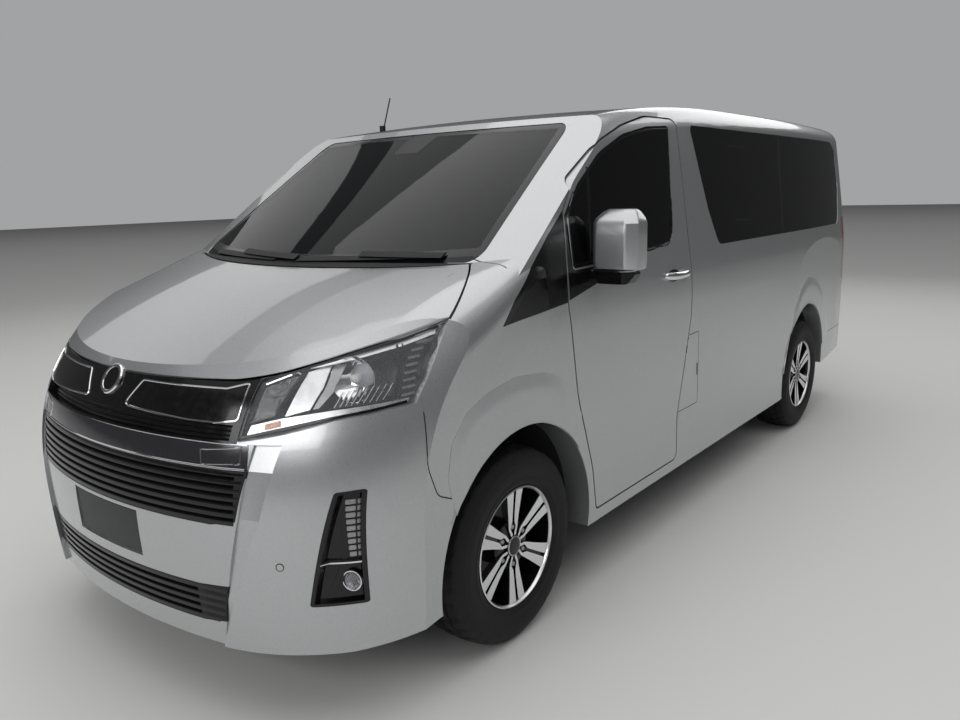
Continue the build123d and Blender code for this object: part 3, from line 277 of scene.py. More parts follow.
def cast(skin, point, side):
    """Where a line through the point, straight in from one side, first meets the skin."""
    far, axis, sign = SIDES[side]
    start = Vector(point)
    start[axis] = far
    way = Vector((0, 0, 0))
    way[axis] = sign
    hit, normal, _, _ = skin.ray_cast(start, way)
    if hit is None:
        hit, normal, _, _ = skin.find_nearest(Vector(point))
    if normal.dot(way) > 0:
        normal = -normal
    return hit, normal


def ring_faces(rings, n, closed=False):
    """Faces between rings of n points each, and one at each end of an open form."""
    faces = []
    for i in range(rings if closed else rings - 1):
        k = (i + 1) % rings
        for j in range(n):
            m = (j + 1) % n
            faces.append([i * n + j, i * n + m, k * n + m, k * n + j])
    if not closed:
        faces.append(list(range(n))[::-1])
        faces.append([(rings - 1) * n + j for j in range(n)])
    return faces


def band(parts, points, width, height, skin, side, closed=False, curved=True, sink=0.8, cross=2,
         step=12):
    """Low raised band along points on a skin, all in millimetres."""
    path = smooth_path([Vector(p) * MM for p in points], step * MM, closed, curved)
    count = len(path)
    rows = []
    for i, p in enumerate(path):
        before = path[i - 1] if closed or i else p
        after = path[(i + 1) % count] if closed or i + 1 < count else p
        hit, normal = cast(skin, p, side)
        along = (after - before).normalized()
        aside = normal.cross(along).normalized()
        top, low = [], []
        for j in range(cross + 1):
            off = (j / cross - 0.5) * width * MM
            spot, n = cast(skin, hit + aside * off, side)
            edge = j in (0, cross)
            top.append(spot + n * (height * (EDGE_RISE if edge else 1.0)) * MM)
            low.append(spot - n * sink * MM)
        rows.append(top + low[::-1])
    parts.add([v for row in rows for v in row], ring_faces(count, len(rows[0]), closed))


def inside(p, outline):
    """Whether a point lies within an outline."""
    hit = False
    for (x0, y0), (x1, y1) in zip(outline, outline[1:] + outline[:1]):
        if (y0 > p[1]) != (y1 > p[1]) and p[0] < x0 + (p[1] - y0) / (y1 - y0) * (x1 - x0):
            hit = not hit
    return hit


def drape(parts, outline, side, skin, height, sink, cell, mat=0):
    """Sheet of even thickness laid on a skin inside an outline seen from one side, in millimetres."""
    _, axis, _ = SIDES[side]
    u, v = [i for i in range(3) if i != axis]

    def lift(p):
        full = [0, 0, 0]
        full[u], full[v] = p[0] * MM, p[1] * MM
        return Vector(full)

    flat = smooth_path([(p[0], p[1], 0) for p in outline], cell, True, False)
    rim = [(p[0], p[1]) for p in flat]
    pts = list(rim)
    x0, x1 = min(p[0] for p in rim), max(p[0] for p in rim)
    y0, y1 = min(p[1] for p in rim), max(p[1] for p in rim)
    nx, ny = int((x1 - x0) / cell), int((y1 - y0) / cell)
    for i in range(1, nx + 1):
        for j in range(1, ny + 1):
            p = (x0 + i * cell, y0 + j * cell)
            near = min((p[0] - q[0]) ** 2 + (p[1] - q[1]) ** 2 for q in rim)
            if near > (cell * 0.55) ** 2 and inside(p, rim):
                pts.append(p)
    n = len(rim)
    edges = [(i, (i + 1) % n) for i in range(n)]
    flat_pts = [Vector(p) for p in pts]
    spots, _, tris, _, _, _ = delaunay_2d_cdt(flat_pts, edges, [list(range(n))], 1, 1e-5)
    hits = [cast(skin, lift(p), side) for p in spots]
    rise = [height(p) if callable(height) else height for p in spots]
    top = [h + nrm * r * MM for (h, nrm), r in zip(hits, rise)]
    low = [h - nrm * sink * MM for h, nrm in hits]
    count = len(spots)
    faces = [list(t) for t in tris] + [[count + i for i in reversed(t)] for t in tris]
    used = {}
    for t in tris:
        for a, b in zip(t, list(t[1:]) + [t[0]]):
            used[(a, b)] = used.get((a, b), 0) + 1
    for (a, b) in used:
        if (b, a) not in used:
            faces.append([b, a, count + a, count + b])
    parts.add(top + low, faces, mat)


def lathe(parts, profile, steps, move, mat=0, mats=None):
    """Form turned about X: profile points are (x, radius) in millimetres."""
    verts = []
    for i in range(steps):
        a = 2 * math.pi * i / steps
        verts += [Vector((x * MM, r * MM * math.cos(a), r * MM * math.sin(a))) for x, r in profile]
    start = len(parts.verts)
    parts.add(verts, [], mat, move)
    n = len(profile)
    for j in range(n):
        for i in range(steps):
            k = (i + 1) % steps
            face = (i * n + j, i * n + (j + 1) % n, k * n + (j + 1) % n, k * n + j)
            parts.faces.append([start + v for v in face])
            parts.mats.append(mats[j] if mats else mat)


def loft(parts, sections, mat=0, move=None):
    """Closed form through rings with the same number of points."""
    verts = [Vector(p) * MM for s in sections for p in s]
    parts.add(verts, ring_faces(len(sections), len(sections[0])), mat, move)


def turned_to(point, direction):
    """Matrix that puts the X axis of a turned form along a direction at a point in millimetres."""
    x = Vector(direction).normalized()
    up = Vector((0, 0, 1)) if abs(x.z) < 0.9 else Vector((0, 1, 0))
    y = up.cross(x).normalized()
    z = x.cross(y)
    return Matrix.Translation(Vector(point) * MM) @ Matrix((x, y, z)).transposed().to_4x4()


def both(name, build, mats, bodies, sharp=35, solids=None):
    """One piece on the left and its mirror image on the right, which may stand for two solids."""
    left = Parts()
    build(left)
    for k, (side, form) in enumerate((("left", left), ("right", left.mirrored()))):
        made = form.make(name + "_" + side, mats, bodies[k], sharp)
        if solids:
            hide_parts(solids[k])


BODY_SKIN = skin_of("side_panel_left", "side_panel_right", "sliding_door", "fender_left",
                    "fender_right", "roof_panel", "rear_bumper", "front_bumper", "tailgate",
                    "garnishes", "side_glass", "tail_lamps", "cowl", "bonnet")
FRONT_SKIN = skin_of("front_bumper", "upper_grille", "grille_bar", "grille", "lower_grille",
                     "fog_lamps", "headlamp_lenses", "bonnet")
DOOR_SKIN = skin_of("door_left", "door_glass_left")
SCREEN_SKIN = skin_of("windscreen")
LENS_SKIN = skin_of("headlamp_lenses")
TAIL_SKIN = skin_of("tailgate", "tailgate_glass", "tail_lamps", "rear_bumper")
BODY_PAIR = ("body", "body")
DOOR_PAIR = ("door_left", "door_right")


# Wheels: sections are (x, radius) from the wheel's middle
WHEEL_X, WHEEL_R = 837.5, 357
FRONT_Y, REAR_Y = -1647.5, 1562.5
SPOKES = 6
BARREL = [(106, 218.5), (108, 214), (103, 210), (97, 208), (60, 203), (0, 199), (-60, 197),
          (-104, 202), (-108, 209), (-112, 214), (-112, 218.5), (-98, 218.5), (-92, 212), (-78, 210),
          (-60, 206), (40, 206), (66, 211), (84, 213), (92, 218.5)]
HUB = [(60, 0.1), (60, 92), (72, 92), (78, 86), (80, 74), (80, 0.1)]
CAP = [(78, 0.1), (78, 35), (88, 35), (91.5, 33), (93.5, 27), (94.2, 14), (94.4, 0.1)]
CAP_RING = [(89, 36), (92.2, 35.6), (93.2, 33.8), (92.2, 32.4), (89, 32.4)]
BRAKE_DISC = [(-62, 40), (-62, 150), (-52, 150), (-52, 146), (-48, 146), (-48, 150), (-38, 150),
              (-38, 92), (-36, 84), (62, 82), (62, 40)]
VALVE_SEAT = [(30, 207), (30, 198), (34, 198), (34, 207)]
NUT = [(62, 9.5), (84, 9.5), (86, 8.0)]
NUT_CIRCLE = 70
# Twin spokes: radius, half of the groove, width of the bar, height of its face
BAR = [(38, 3.0, 12, 88), (50, 5.5, 14, 87.5), (58, 10, 13.5, 87), (66, 13.2, 12.5, 87),
       (74, 13.2, 14, 87), (82, 9.0, 19, 87.5), (92, 5.0, 24.5, 88.5), (120, 4.6, 28.5, 90.5),
       (160, 5.0, 34.5, 94), (190, 5.6, 39, 97), (207, 6.4, 42, 99)]
BAR_DEPTH, BAR_FACE, BAR_BEVEL = 30, 3, 1.2
WEB_START, WEB_TOP, WEB_FOOT, WEB_LAP = 6, 11, 24, 2
MACHINED, DARK, PLAIN, BLANK = range(4)


def spoke_bar(parts, turn, s):
    """One bar of a twin spoke, bright on its face only."""
    verts = []
    for r, gap, width, x in BAR:
        inner, outer = gap * s, (gap + width) * s
        ring = [(x, inner + s * BAR_BEVEL, r), (x, outer - s * BAR_BEVEL, r),
                (x - BAR_FACE, outer, r), (x - BAR_DEPTH, outer - s * 5, r),
                (x - BAR_DEPTH, inner + s * 1.0, r), (x - BAR_FACE, inner, r)]
        verts += [Vector(p) * MM for p in ring]
    first = len(parts.mats)
    parts.add(verts, ring_faces(len(BAR), 6), DARK, turn)
    for k in range(len(BAR) - 1):
        parts.mats[first + 6 * k] = MACHINED


def wheel(parts):
    """Rim in the wheel's frame: dark barrel and pockets, machined spoke faces."""
    lathe(parts, BARREL, 96, None, DARK, [MACHINED] * 3 + [DARK] * 16)
    lathe(parts, HUB, 72, None, DARK)
    for i in range(SPOKES):
        turn = Matrix.Rotation(2 * math.pi * i / SPOKES, 4, "X")
        for s in (-1, 1):
            spoke_bar(parts, turn, s)
        web = []
        for r, gap, _, x in BAR[WEB_START:]:
            half = gap + WEB_LAP
            web.append([(x - WEB_TOP, -half, r), (x - WEB_TOP, half, r),
                        (x - WEB_FOOT, half, r), (x - WEB_FOOT, -half, r)])
        loft(parts, web, DARK, turn)
        nut = []
        for x, r in NUT:
            corners = [math.pi / 3 * k for k in range(6)]
            nut.append([(x, r * math.cos(a), NUT_CIRCLE + r * math.sin(a)) for a in corners])
        loft(parts, nut, PLAIN, turn)
    lathe(parts, CAP, 64, None, BLANK)
    lathe(parts, CAP_RING, 64, None, MACHINED)
    lathe(parts, BRAKE_DISC, 72, None, PLAIN)
    lathe(parts, VALVE_SEAT, 24, None, DARK)


# Places across the crown, and the grooves cut between them
TREAD_X = [-86, -80, -62, -56.5, -48, -42.5, -22, -16.5, -4, 4, 16.5, 22, 42.5, 48, 56.5, 62, 80, 86]
GROOVES = ((-56.5, -48), (-16.5, -4), (4, 16.5), (48, 56.5))
GROOVE_DEPTH, GROOVE_SLOPE = 7.5, 1.4
CROWN_DROP, CROWN_HALF = 9.5, 89.5
# What a row of the tyre's section is
WALL, SHOULDER, BLOCK, GROOVE = range(4)
SIDE_WALL = [(101.5, 219.2), (108, 226), (112.5, 238), (114.6, 243), (113.4, 247), (116.5, 262),
             (118.2, 280), (117.6, 296), (115.6, 302), (115.9, 305), (114.5, 312)]
SHOULDER_ROWS = [(110.5, 322), (106, 331), (100.5, 339.5), (94, 345.5), (88.5, 347.6)]
TYRE_STEPS = 216
SLOT_PITCH, BLOCK_SLOT, SHOULDER_SLOT = 6, 6.0, 3.5


def crown(x):
    return WHEEL_R - CROWN_DROP * (x / CROWN_HALF) ** 2


def tyre_profile():
    """Side wall, shoulder and crown from one bead to the other: x, radius, kind of row."""
    side = [(x, r, WALL) for x, r in SIDE_WALL] + [(x, r, SHOULDER) for x, r in SHOULDER_ROWS]
    rows = []
    for x in TREAD_X:
        low = any(a + 0.1 < x < b - 0.1 for a, b in GROOVES)
        rows.append((x, crown(x) - (GROOVE_DEPTH if low else 0), BLOCK))
        for a, b in GROOVES:
            if abs(x - a) < 0.1:
                rows.append((a + GROOVE_SLOPE, crown(x) - GROOVE_DEPTH, GROOVE))
                rows.append((b - GROOVE_SLOPE, crown(x) - GROOVE_DEPTH, GROOVE))
    return [(-x, r, k) for x, r, k in side] + rows + [(x, r, k) for x, r, k in reversed(side)]


def slot_depth(x, r, kind, i):
    """How far a cross slot sinks a row at one step round the tyre."""
    if kind not in (SHOULDER, BLOCK):
        return 0.0
    lean = int(round(abs(x) / 22)) if kind == BLOCK else 4
    if (i + lean) % SLOT_PITCH:
        return 0.0
    if kind == BLOCK:
        return BLOCK_SLOT
    near = x * (1 if i % (2 * SLOT_PITCH) < SLOT_PITCH else -1) > 0
    return SHOULDER_SLOT if near or r > 325 else 0.0


def tread(parts):
    """Tyre with grooves round the crown and slots across its blocks."""
    profile = tyre_profile()
    verts = []
    for i in range(TYRE_STEPS):
        a = 2 * math.pi * i / TYRE_STEPS
        for x, r, kind in profile:
            low = r - slot_depth(x, r, kind, i)
            verts.append(Vector((x, low * math.cos(a), low * math.sin(a))) * MM)
    parts.add(verts, ring_faces(TYRE_STEPS, len(profile), True))


def place(parts, x_sign, y):
    """The wheel's form moved to its axle; on the right it faces the other way."""
    out = Parts()
    for v in parts.verts:
        out.verts.append(Vector((x_sign * (WHEEL_X * MM + v.x), y * MM + v.y, WHEEL_R * MM + v.z)))
    out.faces = [list(f) if x_sign > 0 else list(reversed(f)) for f in parts.faces]
    out.mats = list(parts.mats)
    return out


def wheels():
    rim, tyre = Parts(), Parts()
    wheel(rim)
    tread(tyre)
    for end, y in (("front", FRONT_Y), ("rear", REAR_Y)):
        for side, sign in (("left", 1), ("right", -1)):
            key = end + "_" + side
            rim_mats = [ALLOY, GLOSS, STEEL, GLOSS]
            made = place(rim, sign, y).make("wheel_" + key, rim_mats, "wheel_" + key, 30)
            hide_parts("rim_" + key)
            made = place(tyre, sign, y).make("tread_" + key, [RUBBER], "wheel_" + key, 32)
            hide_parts("tyre_" + key)


# Side glass, black pillar covers and window rubbers: outlines are (y, z)
SAIL = [(-1340, 1197), (-1267, 1211), (-1115, 1242), (-1019, 1262), (-900, 1286), (-770, 1311),
        (-800, 1318), (-1276, 1312), (-1274, 1496), (-1222, 1568), (-1230, 1582), (-1309, 1497),
        (-1319, 1400)]
WINDOW_BAR = [(-1108, 1668), (-1124, 1547), (-1171, 1310)]
LOWER_RUBBER = [(-373, 1838), (-407, 1616), (-461, 1368), (-642, 1337), (-1170, 1320), (-1276, 1316)]
UPPER_RUBBER = [(-1277, 1324), (-1271, 1496), (-1198, 1585), (-1008, 1708), (-799, 1785),
                (-580, 1824), (-376, 1838)]
GLASS_BAR = [(1109, 1864), (1092, 1754), (1039, 1308)]
VENT_PANE = [(292, 1771), (278, 1700), (286, 1440), (318, 1412), (540, 1408), (564, 1440),
             (556, 1752), (530, 1785), (320, 1785)]
GLASS_JOINT = [(556, 1860), (562, 1310)]


def at_side(points):
    return [(0, y, z) for y, z in points]


def at_front(points):
    return [(x, 0, z) for x, z in points]


def door_trim(parts):
    """Black sail, bar and rubbers round the front door's window."""
    drape(parts, SAIL, "left", DOOR_SKIN, 0.9, 0.6, 14)
    band(parts, at_side(WINDOW_BAR), 20, 1.6, DOOR_SKIN, "left", cross=3, sink=3)
    band(parts, at_side(LOWER_RUBBER), 9, 2.2, DOOR_SKIN, "left", sink=3)
    band(parts, at_side(UPPER_RUBBER), 7, 1.6, DOOR_SKIN, "left", sink=3)


def side_lines(parts):
    """Dark bars and rubbers of the long side glass, same both sides."""
    band(parts, at_side(GLASS_BAR), 26, 0.8, BODY_SKIN, "left", cross=3, step=20)
    band(parts, at_side(VENT_PANE), 7, 0.8, BODY_SKIN, "left", closed=True, curved=False)
    band(parts, at_side(GLASS_JOINT), 5, 0.8, BODY_SKIN, "left", step=20)


def rounded(points, radii, steps=6):
    """Outline with its corners rounded, in two dimensions."""
    out = []
    count = len(points)
    for i in range(count):
        here = Vector(points[i])
        before, after = Vector(points[i - 1]), Vector(points[(i + 1) % count])
        r = radii[i] if isinstance(radii, (list, tuple)) else radii
        if r <= 0:
            out.append(tuple(here))
            continue
        u, v = (before - here).normalized(), (after - here).normalized()
        half = u.angle(v) / 2
        run = min(r / math.tan(half), (before - here).length * 0.48, (after - here).length * 0.48)
        a, b = here + u * run, here + v * run
        for k in range(steps + 1):
            t = k / steps
            out.append(tuple(a * (1 - t) ** 2 + here * 2 * t * (1 - t) + b * t ** 2))
    return out


# Joints between panels
FUEL_LID = [(-346, 908), (-192, 912), (-184, 560), (-404, 560)]
LID_NOTCH = [(-206, 760), (-196, 760), (-194, 700), (-204, 700)]
ROOF_DITCH_X, ROOF_Z = 745, 2000
ROOF_DITCH_Y = (-860, -600, -200, 400, 1200, 2000, 2440)
FRONT_BUMPER_JOINT = [(-2114, 985), (-2132, 800), (-2092, 699), (-2012, 662)]
REAR_BUMPER_JOINT = [(1935, 548), (2100, 553), (2300, 556), (2440, 556), (2560, 556)]
SLIDER_EDGE = [(-215, 1912), (1010, 1918), (1010, 1250), (1010, 860), (1046, 334), (-215, 338)]
SLIDER_TRACK = [(1040, 1262), (2330, 1262), (2330, 1236), (1040, 1236)]


def seams(parts):
    """Thin dark joint lines that lie on the panels."""
    lid = rounded(FUEL_LID, 14)
    band(parts, at_side(lid), 3.5, 0.25, BODY_SKIN, "left", closed=True, curved=False)
    bumper_joint = at_side(rounded(FRONT_BUMPER_JOINT, [0, 100, 50, 0]))
    for sign, side in ((1, "left"), (-1, "right")):
        ditch = [(sign * ROOF_DITCH_X, y, ROOF_Z) for y in ROOF_DITCH_Y]
        band(parts, ditch, 5, 0.4, BODY_SKIN, "top", step=30)
        band(parts, bumper_joint, 4, 0.3, BODY_SKIN, side, curved=False)
        band(parts, at_side(REAR_BUMPER_JOINT), 3.5, 0.25, BODY_SKIN, side)


def slider_lines(parts):
    """Joint and track of the sliding door on the right."""
    edge = rounded(SLIDER_EDGE, [40, 40, 0, 200, 60, 60])
    band(parts, at_side(edge), 5, 0.3, BODY_SKIN, "right", closed=True, curved=False, step=16)
    drape(parts, rounded(SLIDER_TRACK, 6), "right", BODY_SKIN, 0.5, 1.0, 13)


# Wheel arches: y and z of the middle, radius
REAR_ARCH = (1550.5, 385, 442)
FRONT_ARCH = (-1645.5, 362, 442)
ARCH_STEPS = 24
REAR_FLARE = [(1199, 453), (1207, 643), (1261, 823), (1375, 934), (1541, 1000), (1729, 974),
              (1915, 874), (2045, 720), (2120, 600), (2143, 563)]
FRONT_FLARE = [(-2022, 640), (-2044, 735), (-2022, 842), (-1945, 922), (-1850, 960), (-1690, 984),
               (-1520, 968), (-1416, 930), (-1345, 850), (-1308, 740)]
FLARE_HEIGHT, FLARE_SLOPE, FLARE_LIP, LIP_WIDTH = 6.0, 0.11, 1.5, 12


def arch_points(arch, start, end, grow):
    """Points on the circle of a wheel arch, from one angle to another."""
    y, z, r = arch
    angles = [math.radians(start + (end - start) * k / ARCH_STEPS) for k in range(ARCH_STEPS + 1)]
    return [(y + (r + grow) * math.cos(a), z + (r + grow) * math.sin(a)) for a in angles]


def flare(parts, crease, arch, start, end):
    """Swelling of the body side between a crease and the wheel arch."""
    line = smooth_path([(y, z, 0) for y, z in crease], 20, False, True)

    def rise(p):
        away = min(math.hypot(p[0] - q.x, p[1] - q.y) for q in line)
        edge = math.hypot(p[0] - arch[0], p[1] - arch[1]) - arch[2]
        lip = FLARE_LIP if edge < LIP_WIDTH else 0
        return 0.3 + min(FLARE_HEIGHT, FLARE_SLOPE * away) + lip

    edge_line = arch_points(arch, start, end, 1.5)
    if start > end:
        edge_line = edge_line[::-1]
    drape(parts, crease + edge_line, "left", BODY_SKIN, rise, 0.8, 14)


def rear_flare(parts):
    flare(parts, REAR_FLARE, REAR_ARCH, 14, 172)


def front_flare(parts):
    flare(parts, FRONT_FLARE, FRONT_ARCH, 146, 38)


def arch_lips(parts):
    """Turned edges of the wheel arches."""
    for arch, start, end in ((FRONT_ARCH, -4, 150), (REAR_ARCH, 10, 174)):
        line = at_side(arch_points(arch, start, end, 7))
        band(parts, line, 11, 2.2, BODY_SKIN, "left", cross=4, step=22)


def make_sides():
    both("door_window_trim", door_trim, [GLOSS], DOOR_PAIR)
    both("side_glass_bars", side_lines, [GLOSS], BODY_PAIR)
    both("rear_flare", rear_flare, [SILVER], BODY_PAIR)
    both("front_flare", front_flare, [SILVER], BODY_PAIR)
    both("arch_lips", arch_lips, [SILVER], BODY_PAIR)
    parts = Parts()
    seams(parts)
    slider_lines(parts)
    drape(parts, rounded(LID_NOTCH, 4), "left", BODY_SKIN, 0.5, 0.5, 5)
    parts.make("panel_joints", [JOINT_AND_SHADE], "body")


# Windscreen border: outlines are (x, z)
SCREEN_FOOT = [(-770, 1385), (-400, 1366), (0, 1362), (400, 1366), (770, 1385)]
SCREEN_HEAD = [(-700, 1838), (-350, 1842), (0, 1844), (350, 1842), (700, 1838)]
SCREEN_END = [(782, 1372), (760, 1500), (738, 1640), (716, 1760), (700, 1838)]
SENSOR_PATCH = [(-90, 1850), (90, 1850), (70, 1760), (-70, 1760)]


def screen_border():
    """Black border printed round the windscreen, with the patch at its head."""
    parts = Parts()
    lines = [(SCREEN_FOOT, 46, 4), (SCREEN_HEAD, 40, 4)]
    lines += [([(s * x, z) for x, z in SCREEN_END], 34, 3) for s in (-1, 1)]
    for line, width, cross in lines:
        band(parts, at_front(line), width, 0.5, SCREEN_SKIN, "front", cross=cross, step=30, sink=0.4)
    drape(parts, SENSOR_PATCH, "front", SCREEN_SKIN, 0.5, 0.4, 30)
    parts.make("windscreen_border", [GLOSS], "body")


# Front
UPPER_PANEL = [(112, 970), (164, 1045), (316, 1045), (503, 1047), (568, 1064), (576, 966), (500, 957),
               (404, 957)]
UPPER_PANEL_RADII = [12, 12, 0, 20, 10, 12, 20, 20]
BAR_FACET = [(464, 878), (475, 836), (602, 848), (597, 893)]
BAR_EDGES = ((901, 614), (833, 617))
BADGE_Z = 1031
BADGE = [(-6, 0.1), (-6, 52), (4, 52), (8, 49), (9, 44), (8, 40), (6, 39), (5.5, 20), (5.5, 0.1)]
FINE_BAR_Z = (920, 932, 944)
SLAT, SLAT_FACE = 13, 12.4
# Each grille: z of its foot and head, slats, half width of its lowest slat and gap and what each
# higher one adds, where the painted shade at the gap's end starts, and places that the slats bend at
MAIN_GRILLE = (668, 825, 7, 590, 588, 4.3, 584, (500, 250))
LOWER_GRILLE = (345, 461, 5, 519, 517, 6.0, 424, (436, 250))
PLATE_RADIUS, PLATE_THICK = 9, 5.0
FRONT_PLATE = (507, 647, 192)
REAR_PLATE = (706, 858, 225)
SENSOR = [(-3, 0.1), (-3, 12.5), (0.6, 12.5), (0.6, 11), (-0.4, 10.6), (1.2, 9.6), (1.6, 0.1)]
FRONT_SENSOR = (0.717, 0, 0.556)


def grille_lines(parts):
    """Thin bright lines round the two upper panels and on the bar."""
    for s in (-1, 1):
        line = [(s * x, z) for x, z in rounded(UPPER_PANEL, UPPER_PANEL_RADII, 4)]
        band(parts, at_front(line), 6, 3.0, FRONT_SKIN, "front", closed=True, curved=False, cross=4,
             step=10)
        facet = at_front([(s * x, z) for x, z in BAR_FACET])
        band(parts, facet, 4, 2.0, FRONT_SKIN, "front", closed=True, curved=False, cross=3)
    for z, x in BAR_EDGES:
        line = at_front([(u, z) for u in (-x, -500, 0, 500, x)])
        band(parts, line, 6, 2.5, FRONT_SKIN, "front", curved=False, cross=3)


def emblem(parts):
    """Plain round boss where a badge would sit."""
    hit, normal = cast(FRONT_SKIN, (0, 0, BADGE_Z * MM), "front")
    lathe(parts, BADGE, 64, turned_to(hit / MM, normal), 0, [0] * 6 + [1] * 3)


def upper_bars(parts):
    """Fine bars in the slot under the upper panels."""
    for z in FINE_BAR_Z:
        line = at_front([(x, z) for x in (-560, -280, 0, 280, 560)])
        band(parts, line, 4, 5, FRONT_SKIN, "front", step=30)


def slat_noses(parts):
    """Rounded fronts on the main and lower grille's bars."""
    for low, high, count, reach, _, more, _, (far, near) in (MAIN_GRILLE, LOWER_GRILLE):
        pitch = (high - low - SLAT) / (count - 1)
        for i in range(count):
            z = low + SLAT / 2 + i * pitch
            end = reach + i * more
            line = at_front([(x, z) for x in (-end, -far, -near, 0, near, far, end)])
            band(parts, line, SLAT_FACE, 0.5, FRONT_SKIN, "front", curved=False, cross=6, step=25)


def slat_gap_shade(parts):
    """Painted shade: dark sheets over the ends of the gaps between the bars, out to the grilles' outlines,
    so the ends look as deep and shaded as the gaps.
    """
    for low, high, count, _, reach, more, start, _ in (MAIN_GRILLE, LOWER_GRILLE):
        pitch = (high - low - SLAT) / (count - 1)
        for i in range(count - 1):
            z0 = low + SLAT + 0.5 + i * pitch
            z1 = z0 + pitch - SLAT - 1
            end = reach + i * more
            for s in (-1, 1):
                box = [(s * start, z0), (s * end, z0), (s * end, z1), (s * start, z1)]
                drape(parts, box, "front", FRONT_SKIN, 0.4, 0.4, 40)


def plate(parts, side, skin, z0, z1, half):
    """Blank registration plate."""
    outline = rounded([(-half, z0), (half, z0), (half, z1), (-half, z1)], PLATE_RADIUS)
    drape(parts, outline, side, skin, PLATE_THICK, 0.5, 22)


def sensor(parts, skin, side, place, face, gap):
    """Round parking sensor with the dark ring round it."""
    hit, normal = cast(skin, place, side)
    mats = [face] + [gap] * 4 + [face] * 2
    lathe(parts, SENSOR, 36, turned_to(hit / MM, normal), mats=mats)


def front_sensor(parts):
    sensor(parts, FRONT_SKIN, "front", FRONT_SENSOR, 0, 1)


def front_details():
    parts = Parts()
    grille_lines(parts)
    emblem(parts)
    parts.make("front_bright_trim", [CHROME, GLOSS], "body")
    parts = Parts()
    upper_bars(parts)
    slat_noses(parts)
    parts.make("grille_fronts", [GLOSS], "body")
    parts = Parts()
    # Painted shade: dark sheets in the ends of the grille gaps
    slat_gap_shade(parts)
    parts.make("grille_gap_shade", [JOINT_AND_SHADE], "body")
    parts = Parts()
    plate(parts, "front", FRONT_SKIN, *FRONT_PLATE)
    parts.make("front_plate_blank", [PLATE], "body")
    both("parking_sensors", front_sensor, [SILVER, JOINT_AND_SHADE], BODY_PAIR)


# Lamps: outlines are (x, z) on the lens, depths are behind it
LAMP_OUTLINE = [(598, 1070), (676, 1103), (775, 1136), (859, 1167), (914, 1200), (930, 1142),
                (934, 1063), (933, 998), (868, 983), (797, 970), (692, 944), (599, 921)]
SHELL_RIM, SHELL_DEPTH, SHELL_SLOPE = 6, 74, 1.9
BOWL_POINT, BOWL_WAY = (783, -2229, 1061), (0.5, -1, 0.1)
BOWL_RADIUS, BOWL_DEPTH = 66, 40
BRIGHT_TRIM, LAMP_WHITE, LAMP_AMBER, LAMP_FACETS, LAMP_BLACK, LAMP_SILVER, LAMP_STEEL = range(7)
# Sheets inside the lamp: outline, depth of the face, thickness behind it, cell, material
LAMP_SHEETS = [
    ([(698, 1100), (744, 1120), (752, 1060), (744, 1000), (690, 984)], 22, 26, 12, LAMP_SILVER),
    ([(748, 1120), (774, 1130), (778, 1046), (762, 1004), (748, 1002), (756, 1060)], 30, 34, 12,
     LAMP_STEEL),
    ([(612, 957), (690, 978), (790, 993), (880, 1002), (928, 1010), (928, 1000), (868, 990),
      (797, 977), (692, 951), (606, 928)], 13, 17, 9, LAMP_SILVER),
    ([(650, 961), (686, 971), (690, 956), (654, 946)], 8, 13, 8, LAMP_AMBER),
    ([(700, 1106), (775, 1131), (859, 1161), (912, 1192), (916, 1178), (870, 1152), (800, 1128),
      (744, 1114)], 12, 16, 9, LAMP_SILVER),
]
LAMP_CELL = ([(607, 1058), (676, 1089), (684, 1083), (667, 988), (612, 966)], 17, 21, 10, LAMP_FACETS)
# Bars inside the lamp: line, width, near and far depth, material
CELL_BARS = [
    ([(607, 1062), (676, 1093), (686, 1088)], 4, 10, 22, BRIGHT_TRIM),
    ([(690, 1095), (678, 1040), (668, 986)], 5, 8, 22, LAMP_BLACK),
    ([(668, 984), (640, 974), (612, 964)], 5, 8, 22, BRIGHT_TRIM),
]
END_BARS = [
    ([(857, 1155), (880, 1100), (893, 1050), (900, 1004)], 7, 9, 30, LAMP_BLACK),
    ([(866, 1157), (888, 1100), (900, 1050), (906, 1006)], 5, 8, 24, BRIGHT_TRIM),
]
LENS_EDGES = [
    ([(596, 1069), (676, 1102), (775, 1135), (859, 1166), (912, 1196)], 7, True),
    ([(598, 922), (692, 946), (797, 971), (868, 984), (925, 999)], 8, True),
    ([(597, 1066), (597, 990), (598, 926)], 6, False),
]
FOG_CELL_Z, FOG_CELL_PITCH, FOG_CELL_HEIGHT, FOG_CELL_LEAN = 572, 19.5, 14, 0.8
FOG_PANEL = [(804, 452), (838, 560), (842, 745), (846, 745), (846, 560), (812, 452)]
FOG_BAR = [(808, 562), (850, 558), (884, 556)]
FOG_PLACE, FOG_WAY = (0.856, 0, 0.499), (0.4, -1, 0.05)
FOG_RING = [(-2, 0.1), (-2, 32), (12, 32), (15, 30.5), (15, 28), (9, 27.5), (9, 0.1)]
FOG_LENS = [(9.2, 0.1), (9.2, 27), (12, 26), (15.5, 17), (17, 0.1)]
FOG_CHROME, FOG_FACETS, FOG_BLACK, FOG_STEEL = range(4)


def reflector(parts, point, direction, radius, depth):
    """Open bright bowl with a bulb in it."""
    move = turned_to(point, direction)
    rings = (0.1, radius * 0.3, radius * 0.5, radius * 0.7, radius * 0.85, radius)
    inner = [(-depth * (1 - (r / radius) ** 2), r) for r in rings]
    outer = [(x - 2.5, r + (2 if r > 1 else 0)) for x, r in reversed(inner)]
    lathe(parts, inner + [(1.5, radius + 1), (1.5, radius + 3)] + outer, 48, move, BRIGHT_TRIM)
    bulb = [(-depth + 2, 0.1), (-depth + 2, radius * 0.2), (-depth * 0.35, radius * 0.2),
            (-depth * 0.2, radius * 0.12), (-depth * 0.15, 0.1)]
    lathe(parts, bulb, 24, move, LAMP_WHITE)


